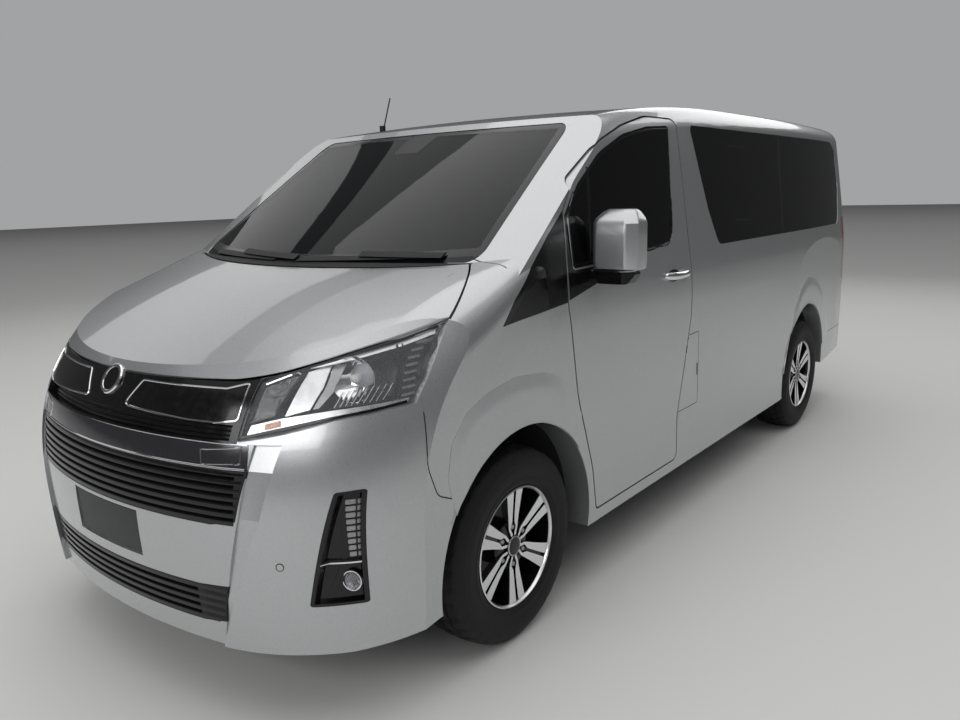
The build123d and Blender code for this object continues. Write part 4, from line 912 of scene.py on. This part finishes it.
def lamp_shell(parts):
    """Dark dish behind the lens: shallow at its rim, deep in the middle."""
    rim = smooth_path([(x, z, 0) for x, z in LAMP_OUTLINE], 10, True, False)

    def depth(p):
        near = min(math.hypot(p[0] - q.x, p[1] - q.y) for q in rim)
        return -SHELL_RIM - min(SHELL_DEPTH, SHELL_SLOPE * near)

    drape(parts, LAMP_OUTLINE, "front", LENS_SKIN, depth, 84, 12)


def inner_sheet(parts, outline, depth, back, cell, mat):
    """Sheet that lies behind the lens."""
    drape(parts, outline, "front", LENS_SKIN, -depth, back, cell, mat)


def inner_band(parts, points, width, near, far, mat):
    """Bar that follows the lens on its inside, between two depths in millimetres."""
    path = smooth_path([Vector(p) * MM for p in at_front(points)], 12 * MM)
    ahead = Vector((0, -1, 0))
    rings = []
    for i, p in enumerate(path):
        hit, normal = cast(LENS_SKIN, p, "front")
        along = (path[min(i + 1, len(path) - 1)] - path[max(i - 1, 0)]).normalized()
        aside = ahead.cross(along).normalized() * width * MM / 2
        inward = -(normal + ahead).normalized()
        a, b = hit + inward * near * MM, hit + inward * far * MM
        rings.append([(a + aside) / MM, (a - aside) / MM, (b - aside) / MM, (b + aside) / MM])
    loft(parts, rings, mat)


def lamp_inside(parts):
    """Bowl, divisions and fins behind the clear lens."""
    reflector(parts, BOWL_POINT, BOWL_WAY, BOWL_RADIUS, BOWL_DEPTH)
    for k in range(9):
        x = 792 + 11 * k
        fin = [(x, 998 + 1.6 * k), (x + 3, 1018 + 1.6 * k), (x + 5, 1040 + 1.8 * k)]
        inner_band(parts, fin, 4, 20, 34, BRIGHT_TRIM)
    inner_sheet(parts, *LAMP_CELL)
    for bar in CELL_BARS:
        inner_band(parts, *bar)
    for sheet in LAMP_SHEETS:
        inner_sheet(parts, *sheet)
    for bar in END_BARS:
        inner_band(parts, *bar)
    for k in range(8):
        z = 1016 + 20 * k
        x = 911 - 4.2 * k + (0.9 * max(0, k - 4) ** 2)
        inner_band(parts, [(x, z), (x + 9, z + 2), (x + 18, z + 5)], 8, 10, 20, BRIGHT_TRIM)


def lens_rim(parts):
    """Dark edge round the lens."""
    for line, width, curved in LENS_EDGES:
        band(parts, at_front(line), width, 0.4, LENS_SKIN, "front", curved=curved)


def fog_light(parts):
    """Column of light cells over a round lamp, in the bezel."""
    for k in range(9):
        z0 = FOG_CELL_Z + FOG_CELL_PITCH * k
        z1 = z0 + FOG_CELL_HEIGHT
        for x0, x1 in ((852 - FOG_CELL_LEAN * k, 864), (867, 879)):
            box = rounded([(x0, z0), (x1, z0), (x1, z1), (x0, z1)], 3, 3)
            drape(parts, box, "front", FRONT_SKIN, 5, 1, 8, FOG_STEEL)
    drape(parts, rounded(FOG_PANEL, 2, 2), "front", FRONT_SKIN, 3, 1, 10, FOG_BLACK)
    band(parts, at_front(FOG_BAR), 9, 14, FRONT_SKIN, "front", cross=4)
    hit, _ = cast(FRONT_SKIN, FOG_PLACE, "front")
    move = turned_to(hit / MM, FOG_WAY)
    lathe(parts, FOG_RING, 48, move, mats=[FOG_BLACK] * 3 + [FOG_CHROME] * 4)
    lathe(parts, FOG_LENS, 48, move, FOG_FACETS)


def lamp_details():
    both("headlamp_shell", lamp_shell, [GLOSS], BODY_PAIR, solids=("headlamp_bodies", "headlamp_bodies"))
    lamp_mats = [CHROME, WHITE, AMBER, FACETS, GLOSS, BRIGHT, STEEL]
    both("headlamp_reflectors", lamp_inside, lamp_mats, BODY_PAIR)
    both("headlamp_rims", lens_rim, [GLOSS], BODY_PAIR)
    both("fog_lamp_lights", fog_light, [CHROME, FACETS, GLOSS, STEEL], BODY_PAIR)


# Mirrors and handles
# Cap of the mirror at each height: z, x of the inner and outer end, y of the front, y at its ends
MIRROR_LEVELS = [(1293, 982, 1142, -1192, -1166), (1300, 970, 1152, -1206, -1172),
                 (1330, 966, 1155, -1212, -1172), (1420, 967, 1154.5, -1211, -1172),
                 (1462, 968, 1155, -1208, -1170), (1478, 972, 1148, -1198, -1165),
                 (1502, 990, 1128, -1160, -1145), (1510, 1002, 1116, -1146, -1135),
                 (1513, 1014, 1104, -1138, -1130)]
MIRROR_REAR_Y = -1104
MIRROR_GLASS = [(984, 1306), (1142, 1306), (1146, 1456), (1120, 1496), (1008, 1500), (984, 1470)]
MIRROR_LINE_Z = 1291
MIRROR_LINE = [(1150, -1104), (1154, -1148), (1134, -1186), (1104, -1203), (1000, -1208), (972, -1186)]
# Pull handle along its length: y, z of its middle, how far it stands out, half height, half width
PULL = [(-556, 1206, 2, 8, 3), (-548, 1206, 10, 14, 8), (-530, 1205, 16, 17, 10),
        (-500, 1203, 24, 17, 11), (-440, 1202, 28, 16, 11), (-380, 1203, 26, 15.5, 11),
        (-352, 1205, 18, 15, 11), (-336, 1206, 10, 13, 8), (-328, 1206, 2, 8, 3)]
PULL_X = 968
CUP_Y, CUP_Z, CUP_LONG, CUP_HIGH = -470, 1203, 62, 27


def mirror_cap(parts):
    """Painted cap: flat front, ends that turn back, and a sloping facet along its top."""
    sections = []
    for z, x0, x1, y_front, y_end in MIRROR_LEVELS:
        outline = [(x0, MIRROR_REAR_Y), (x1, MIRROR_REAR_Y), (x1, y_end), (x1 - 34, y_front),
                   (x0 + 30, y_front + 4), (x0, y_end)]
        ring = rounded(outline, [3, 3, 16, 16, 16, 16], 4)
        sections.append([(x, y, z) for x, y in ring])
    loft(parts, sections)


def mirror_face(parts):
    """Silvered glass on the back of the mirror."""
    drape(parts, rounded(MIRROR_GLASS, 14), "rear", skin_of("mirror_left"), 1.2, 0.5, 16)


def mirror_line(parts):
    """Thin bright line round the mirror's foot."""
    skin = skin_of("mirror_left", "mirror_base_left")
    path = smooth_path([Vector((x, y, MIRROR_LINE_Z)) * MM for x, y in MIRROR_LINE], 8 * MM)
    rings = []
    for p in path:
        hit, normal, _, _ = skin.find_nearest(p)
        normal = Vector((normal.x, normal.y, 0)).normalized()
        inner, outer = (hit - normal * MM) / MM, (hit + normal * 1.6 * MM) / MM
        rings.append([inner - Vector((0, 0, 2.5)), outer - Vector((0, 0, 2)),
                      outer + Vector((0, 0, 2)), inner + Vector((0, 0, 2.5))])
    loft(parts, rings)


def handle(parts):
    """Bright pull handle that stands out from the door."""
    sections = []
    for y, z, out, high, wide in PULL:
        corners = [2 * math.pi * k / 12 for k in range(12)]
        sections.append([(PULL_X + out + wide * math.cos(a), y, z + high * math.sin(a))
                         for a in corners])
    loft(parts, sections)


def handle_cup_shade(parts):
    """Painted shade: dark sheet for the shaded cup behind the handle."""
    corners = [2 * math.pi * k / 28 for k in range(28)]
    cup = [(CUP_Y + CUP_LONG * math.cos(a), CUP_Z + CUP_HIGH * math.sin(a)) for a in corners]
    drape(parts, cup, "left", DOOR_SKIN, 0.3, 0.5, 12)


def make_fittings():
    both("mirror_shell", mirror_cap, [SILVER], DOOR_PAIR, 28, ("mirror_left", "mirror_right"))
    both("mirror_glass", mirror_face, [CHROME], DOOR_PAIR)
    both("mirror_bright_line", mirror_line, [CHROME], DOOR_PAIR)
    both("pull", handle, [CHROME], DOOR_PAIR, solids=("handle_left", "handle_right"))
    # Painted shade in the hollow behind each pull handle
    both("pull_cup_shade", handle_cup_shade, [JOINT_AND_SHADE], DOOR_PAIR)


# Rear
HANDLE_BAR = [(-330, 890), (330, 890), (330, 938), (-330, 938)]
BRAKE_LAMP = [(-160, 1884), (160, 1884), (150, 1902), (-150, 1902)]
WIPER_BLADE = [(-30, 1372), (-230, 1376), (-440, 1372)]
WIPER_ARM = [(6, 1318), (-60, 1345), (-240, 1384)]
WIPER_HUB = [(-2, 0.1), (-2, 24), (16, 22), (21, 17), (22, 0.1)]
WIPER_PIVOT = (0.008, 0, 1.316)
TAIL_LINE_X, TAIL_LINE_Z = (812, 860, 905), (1010, 1120, 1235)
# Fields of the tail lamp: foot, head, material
TAIL_FIELDS = ((1018, 1112, 1), (1128, 1227, 2))
REAR_REFLECTOR = [(560, 446), (690, 446), (690, 476), (560, 476)]
REAR_SENSOR_X, REAR_SENSOR_Z = (260, 740), 0.43


def rear_wiper(parts):
    band(parts, at_front(WIPER_BLADE), 9, 16, TAIL_SKIN, "rear", cross=4, step=25)
    band(parts, at_front(WIPER_ARM), 15, 24, TAIL_SKIN, "rear", cross=4, step=20)
    hit, normal = cast(TAIL_SKIN, WIPER_PIVOT, "rear")
    lathe(parts, WIPER_HUB, 36, turned_to(hit / MM, normal))


def tail_lamp(parts):
    """Lines that divide the tail lamp, and its clear and amber fields."""
    for z in TAIL_LINE_Z:
        band(parts, at_front([(x, z) for x in TAIL_LINE_X]), 6, 0.8, TAIL_SKIN, "rear")
    for z0, z1, mat in TAIL_FIELDS:
        field = rounded([(814, z0), (884, z0), (886, z1), (814, z1)], 8, 4)
        drape(parts, field, "rear", TAIL_SKIN, 1.0, 0.5, 14, mat)


def bumper_lights(parts):
    """Reflector and parking sensors on the rear bumper."""
    drape(parts, rounded(REAR_REFLECTOR, 8, 4), "rear", TAIL_SKIN, 2, 0.5, 16)
    for x in REAR_SENSOR_X:
        sensor(parts, TAIL_SKIN, "rear", (x * MM, 0, REAR_SENSOR_Z), 1, 2)


def rear_details():
    parts = Parts()
    plate(parts, "rear", TAIL_SKIN, *REAR_PLATE)
    parts.make("rear_plate_blank", [PLATE], "tailgate")
    parts = Parts()
    drape(parts, rounded(HANDLE_BAR, 10), "rear", TAIL_SKIN, 2, 1, 24)
    parts.make("tailgate_handle_bar", [CHROME], "tailgate")
    parts = Parts()
    drape(parts, rounded(BRAKE_LAMP, 5), "rear", TAIL_SKIN, 4, 1, 14)
    parts.make("high_brake_lamp", [RED], "tailgate")
    parts = Parts()
    rear_wiper(parts)
    parts.make("rear_wiper", [BLACK], "tailgate")
    both("tail_lamp_divisions", tail_lamp, [GLOSS, WHITE, AMBER], BODY_PAIR)
    both("rear_reflectors", bumper_lights, [RED, SILVER, JOINT_AND_SHADE], BODY_PAIR)


# Seats
# Rows: name, y of the row's line, low and high x of each seat
SEAT_ROWS = [("front", -830, ((190, 690), (-690, -190))),
             ("second", 60, ((250, 770), (-300, 220), (-840, -330))),
             ("third", 900, ((80, 590), (-590, -80))),
             ("fourth", 1700, ((80, 590), (-590, -80)))]
SEAT_Z = 800
PAD_WIDTH = 500
# Pads: kind, then size, edge radius, crown, taper, and the lines sewn across and along
PADS = [("cushion", (PAD_WIDTH - 24, 452, 96), 30, 5, 0.0, (60, -60), (150,)),
        ("back", (PAD_WIDTH - 30, 566, 96), 30, 4, 0.34, (-120, 0, 120), (140,)),
        ("head_rest", (236, 160, 66), 26, 3, 0.1, (), ())]
# Place of each pad: y from the row's line, z, lean in degrees
PAD_PLACES = {"cushion": (232, 873, 1.5), "back": (497, 1158, 73), "head_rest": (648, 1543, 80)}
PAD_PULL, PAD_CELLS = 5, 20
PAD_VOXEL, PAD_SWELL = 10, 9
PRESSURE, SIM_STEPS = 4, 20
SEWN_DEPTH, SEWN_WIDTH = 5, 5
# Seat base at each height: inset of its sides, z, y of its front and rear edge
BASE_LEVELS = [(66, 481, 66, 414), (64, 700, 64, 416), (40, 790, 40, 430), (16, 803, 14, 450),
               (14, 826, 12, 452), (30, 830, 26, 440)]
# Back shell up its length: distance, inset of its sides, thickness
SHELL_LEVELS = [(60, 60, 14), (120, 26, 20), (400, 22, 22), (700, 36, 20), (768, 60, 10)]
SHELL_REAR = 447
LEAN_Y, LEAN_Z = 0.293, 0.956
POST = [(0, 0.1), (0, 6), (115, 6), (115, 0.1)]
POST_X, POST_Y, POST_Z = 55, 590, 1400


def pad_form(size, radius, crown, taper):
    """Plump closed form about its middle, in millimetres, thinner towards its far end."""
    hx, hy, hz = (v / 2 for v in size)
    grid = bmesh.new()
    bmesh.ops.create_cube(grid, size=2)
    bmesh.ops.subdivide_edges(grid, edges=grid.edges, cuts=PAD_CELLS, use_grid_fill=True)
    for vert in grid.verts:
        p = Vector((vert.co.x * hx, vert.co.y * hy, vert.co.z * hz))
        core = Vector([max(radius - h, min(h - radius, c)) for c, h in zip(p, (hx, hy, hz))])
        p = core + (p - core).normalized() * radius
        u, v = p.x / hx, p.y / hy
        thin = 1 - taper * (v + 1) / 2
        p.z = (p.z + hz) * thin - hz + math.copysign(crown, p.z) * (1 - u * u) * (1 - v * v)
        p.x -= PAD_PULL * u * (1 - v * v)
        p.y -= PAD_PULL * v * (1 - u * u)
        vert.co = p * MM
    mesh = bpy.data.meshes.new("pad_form")
    grid.to_mesh(mesh)
    grid.free()
    return mesh


def worked_out(obj):
    """Mesh of the object with its modifiers."""
    return bpy.data.meshes.new_from_object(obj.evaluated_get(bpy.context.evaluated_depsgraph_get()))


def inflated(mesh):
    """The form swollen by pressure under its cloth, no point moved further than PAD_SWELL."""
    obj = bpy.data.objects.new("pad_sim", mesh)
    scene.collection.objects.link(obj)
    remesh = obj.modifiers.new("remesh", "REMESH")
    remesh.mode = "VOXEL"
    remesh.voxel_size = PAD_VOXEL * MM
    start = worked_out(obj)
    obj.modifiers.clear()
    obj.data = start
    cloth = obj.modifiers.new("cloth", "CLOTH")
    cloth.settings.use_pressure = True
    cloth.settings.uniform_pressure_force = PRESSURE
    cloth.settings.effector_weights.gravity = 0
    for step in range(1, SIM_STEPS + 1):
        scene.frame_set(step)
    swollen = worked_out(obj)
    for before, after in zip(start.vertices, swollen.vertices):
        move = after.co - before.co
        if move.length > PAD_SWELL * MM:
            after.co = before.co + move.normalized() * PAD_SWELL * MM
    bpy.data.objects.remove(obj)
    scene.frame_set(1)
    return swollen


def sewn(mesh, across, along):
    """Channels sewn into the top of a pad, across it and along it."""
    out = []
    for vert in mesh.vertices:
        p = vert.co / MM
        sunk = 0.0
        if along and vert.normal.z > 0.3:
            lines = [abs(p.y - y) for y in across if abs(p.x) < along[-1]]
            lines += [abs(abs(p.x) - x) for x in along]
            sunk = SEWN_DEPTH * math.exp(-(min(lines) / SEWN_WIDTH) ** 2)
        out.append(vert.co - vert.normal * sunk * MM)
    return out, [list(f.vertices) for f in mesh.polygons]


def pad_master(size, radius, crown, taper, across, along):
    mesh = pad_form(size, radius, crown, taper)
    mesh = inflated(mesh)
    mesh.update()
    return sewn(mesh, across, along)


def lean_to(x, y, z, degrees, stretch):
    turn = Matrix.Rotation(math.radians(degrees), 4, "X")
    wide = Matrix.Diagonal((stretch, 1, 1, 1))
    return Matrix.Translation(Vector((x, y, z)) * MM) @ turn @ wide


def seat_frame(parts, x0, x1, y):
    """Base, side valance, back shell and head rest posts of one seat."""
    sections = []
    for inset, z, front, rear in BASE_LEVELS:
        a, b = x0 + inset, x1 - inset
        box = [(a, y + front), (b, y + front), (b, y + rear), (a, y + rear)]
        sections.append([(u, v, z) for u, v in rounded(box, 22, 4)])
    loft(parts, sections)
    middle, half = (x0 + x1) / 2, (x1 - x0) / 2
    sections = []
    for t, inset, thick in SHELL_LEVELS:
        cy, cz = y + LEAN_Y * t, SEAT_Z + LEAN_Z * t
        b = half - inset
        box = [(-b, SHELL_REAR - thick), (b, SHELL_REAR - thick), (b, SHELL_REAR), (-b, SHELL_REAR)]
        sections.append([(middle + u, cy + LEAN_Z * n, cz - LEAN_Y * n) for u, n in rounded(box, 6, 3)])
    loft(parts, sections)
    for s in (-1, 1):
        post = turned_to((middle + s * POST_X, y + POST_Y, POST_Z), (0, 0.26, 1))
        lathe(parts, POST, 12, post, 1)


def make_seats():
    """Padded cushions, backs and head rests on firm frames, in four rows."""
    masters = {kind: pad_master(*form) for kind, *form in PADS}
    for row, y, places in SEAT_ROWS:
        solid = "front_seats" if row == "front" else "rear_seats"
        frames = Parts()
        for number, (x0, x1) in enumerate(places, 1):
            for kind, (verts, faces) in masters.items():
                behind, z, lean = PAD_PLACES[kind]
                stretch = 1.0 if kind == "head_rest" else (x1 - x0) / PAD_WIDTH
                move = lean_to((x0 + x1) / 2, y + behind, z, lean, stretch)
                label = kind + "_" + row + "_" + str(number)
                points = [move @ v for v in verts]
                made = piece(label, points, faces, [CLOTH], "body", 80, merge=False)
                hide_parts(solid)
            seat_frame(frames, x0, x1, y)
        made = frames.make("seat_frames_" + row, [BLACK, STEEL], "body")
        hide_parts(solid)


# Cabin
# Hood over the dials: (y, z) section, then x and how far the section drops there
HOOD = [(-1330, 1228), (-1250, 1282), (-1196, 1276), (-1190, 1258), (-1238, 1150), (-1330, 1180)]
HOOD_LEVELS = [(262, 24), (276, 6), (300, 0), (500, 0), (524, 6), (538, 24)]
DISPLAY = [(-1290, 1214), (-1196, 1224), (-1178, 1085), (-1262, 1075)]
DISPLAY_HALF = 128
VENT_X, VENT_Y, VENT_Z = (-760, -168, 168, 760), -1216, 1148
VENT_RING = [(-10, 0.1), (-10, 44), (8, 44), (12, 41), (12, 37), (2, 35), (2, 0.1)]
# Vane of a vent: corners about its line, (y, z) of its front and rear edge
VANE_CORNERS = ((-33, -1.5), (33, -1.5), (33, 1.5), (-33, 1.5))
VANE_EDGES = ((-1207, 1150), (-1193, 1146))
LEVER = [(-20, 0.1), (-20, 42), (6, 38), (12, 10), (120, 8), (128, 20), (166, 24), (178, 16), (180, 0.1)]
# Inside of the front door, as (y, z)
CARD = [(-1210, 420), (-440, 420), (-318, 1000), (-316, 1225), (-640, 1275), (-1262, 1260), (-1250, 900)]
CARD_RADII = [40, 60, 30, 20, 60, 30, 60]
POCKET = [(-1170, 440), (-560, 440), (-540, 600), (-1190, 600)]
ARM_REST = [(-960, 905), (-420, 900), (-415, 960), (-930, 990)]
DOOR_LEVER = [(-1090, 1080), (-960, 1080), (-960, 1110), (-1090, 1110)]


def dash_details():
    """Hood over the dials, centre screen, air vents and gear lever."""
    parts = Parts()
    hood = rounded(HOOD, 12, 3)
    loft(parts, [[(x, y, z - drop) for y, z in hood] for x, drop in HOOD_LEVELS])
    display = rounded(DISPLAY, 8, 3)
    loft(parts, [[(x, y, z) for y, z in display] for x in (-DISPLAY_HALF, DISPLAY_HALF)], 1)
    for x in VENT_X:
        move = turned_to((x, VENT_Y, VENT_Z), (0, 1, 0.35))
        lathe(parts, VENT_RING, 36, move, mats=[0, 0, 0, 2, 2, 1, 1])
        for k in (-1, 0, 1):
            rings = [[(x + u, y + 4 * k, z + 14 * k + v) for u, v in VANE_CORNERS] for y, z in VANE_EDGES]
            loft(parts, rings)
    lathe(parts, LEVER, 28, turned_to((52, -1210, 985), (0, 1, 0.5)))
    parts.make("dash_details", [BLACK, GLOSS, CHROME], "body")


def door_card(parts):
    """Trim panel on the inside of the front door, with its pocket, arm rest and lever."""
    drape(parts, rounded(CARD, CARD_RADII, 5), "right", DOOR_SKIN, 8, 1, 40)
    drape(parts, rounded(POCKET, 20, 4), "right", DOOR_SKIN, 46, 1, 40)
    drape(parts, rounded(ARM_REST, 20, 4), "right", DOOR_SKIN, 62, 1, 30)
    drape(parts, rounded(DOOR_LEVER, 10, 4), "right", DOOR_SKIN, 20, 1, 20, 1)


def make_cabin():
    dash_details()
    both("door_cards", door_card, [BLACK, CHROME], DOOR_PAIR)


wheels()
make_cabin()
make_seats()
make_sides()
screen_border()
front_details()
lamp_details()
make_fittings()
rear_details()


# Floor, light and camera, in metres
FLOOR_HALF = 60
FLOOR_COLOUR, FLOOR_ROUGHNESS = (0.7, 0.7, 0.69, 1), 0.75
# Lights: name, place, target, size, power
LIGHTS = [("sky", (0, 0, 30), (0, 0, 0), (70, 70), 5600),
          ("overhead", (0.5, -0.5, 7.5), (0, 0, 0), (9, 12), 300),
          ("front", (1.5, -9.0, 4.4), (0, 0, 1.0), (8, 3.0), 260),
          ("left", (8.0, -0.5, 5.6), (0, 0, 1.0), (10, 2.6), 10),
          ("right", (-8.5, 0, 5.6), (0, 0, 1.0), (10, 3), 60),
          ("back", (0, 9.0, 5.6), (0, 0, 1.0), (8, 3), 110)]
WORLD_COLOUR = (0.86, 0.87, 0.88, 1)
# Strength of the world as it lights the van, and as the camera sees it
WORLD_LIGHT, WORLD_SEEN = 0.1, 0.42
CAMERA_PLACE = (2.480, -3.762, 1.580)
CAMERA_YAW, CAMERA_PITCH, CAMERA_ROLL = 38.53, 11.8, -1.62
PHOTO_WIDTH, FOCAL_PIXELS, SENSOR_WIDTH = 960, 794.9, 36


def stage_floor():
    mesh = bpy.data.meshes.new("floor")
    corners = [(u * FLOOR_HALF, v * FLOOR_HALF, 0) for u, v in ((-1, -1), (1, -1), (1, 1), (-1, 1))]
    mesh.from_pydata(corners, [], [(0, 1, 2, 3)])
    obj = bpy.data.objects.new("floor", mesh)
    scene.collection.objects.link(obj)
    FLOOR.use_nodes = True
    shader = FLOOR.node_tree.nodes["Principled BSDF"]
    shader.inputs["Base Color"].default_value = FLOOR_COLOUR
    shader.inputs["Roughness"].default_value = FLOOR_ROUGHNESS
    mesh.materials.append(FLOOR)


def area_light(name, place, target, size, power):
    data = bpy.data.lights.new(name, "AREA")
    data.shape = "RECTANGLE"
    data.size, data.size_y = size
    data.energy = power
    obj = bpy.data.objects.new(name, data)
    obj.location = place
    obj.rotation_euler = (Vector(target) - Vector(place)).to_track_quat("-Z", "Y").to_euler()
    scene.collection.objects.link(obj)


def studio():
    for light in LIGHTS:
        area_light(*light)
    world = bpy.data.worlds.new("world")
    scene.world = world
    world.use_nodes = True
    tree = world.node_tree
    background = tree.nodes["Background"]
    background.inputs["Color"].default_value = WORLD_COLOUR
    ray = tree.nodes.new("ShaderNodeLightPath")
    level = tree.nodes.new("ShaderNodeMapRange")
    level.inputs["To Min"].default_value = WORLD_LIGHT
    level.inputs["To Max"].default_value = WORLD_SEEN
    tree.links.new(ray.outputs["Is Camera Ray"], level.inputs["Value"])
    tree.links.new(level.outputs["Result"], background.inputs["Strength"])


def camera():
    data = bpy.data.cameras.new("camera")
    obj = bpy.data.objects.new("camera", data)
    yaw, pitch, roll = (math.radians(v) for v in (CAMERA_YAW, CAMERA_PITCH, CAMERA_ROLL))
    forward = Vector((-math.sin(yaw) * math.cos(pitch), math.cos(yaw) * math.cos(pitch), -math.sin(pitch)))
    right = Vector((math.cos(yaw), math.sin(yaw), 0))
    up = right.cross(forward)
    side = right * math.cos(roll) + up * math.sin(roll)
    top = up * math.cos(roll) - right * math.sin(roll)
    turn = Matrix((side, top, -forward)).transposed()
    obj.matrix_world = Matrix.Translation(Vector(CAMERA_PLACE)) @ turn.to_4x4()
    data.sensor_width = SENSOR_WIDTH
    data.lens = FOCAL_PIXELS / PHOTO_WIDTH * SENSOR_WIDTH
    scene.collection.objects.link(obj)
    scene.camera = obj


stage_floor()
studio()
camera()
scene.view_settings.view_transform = "Standard"
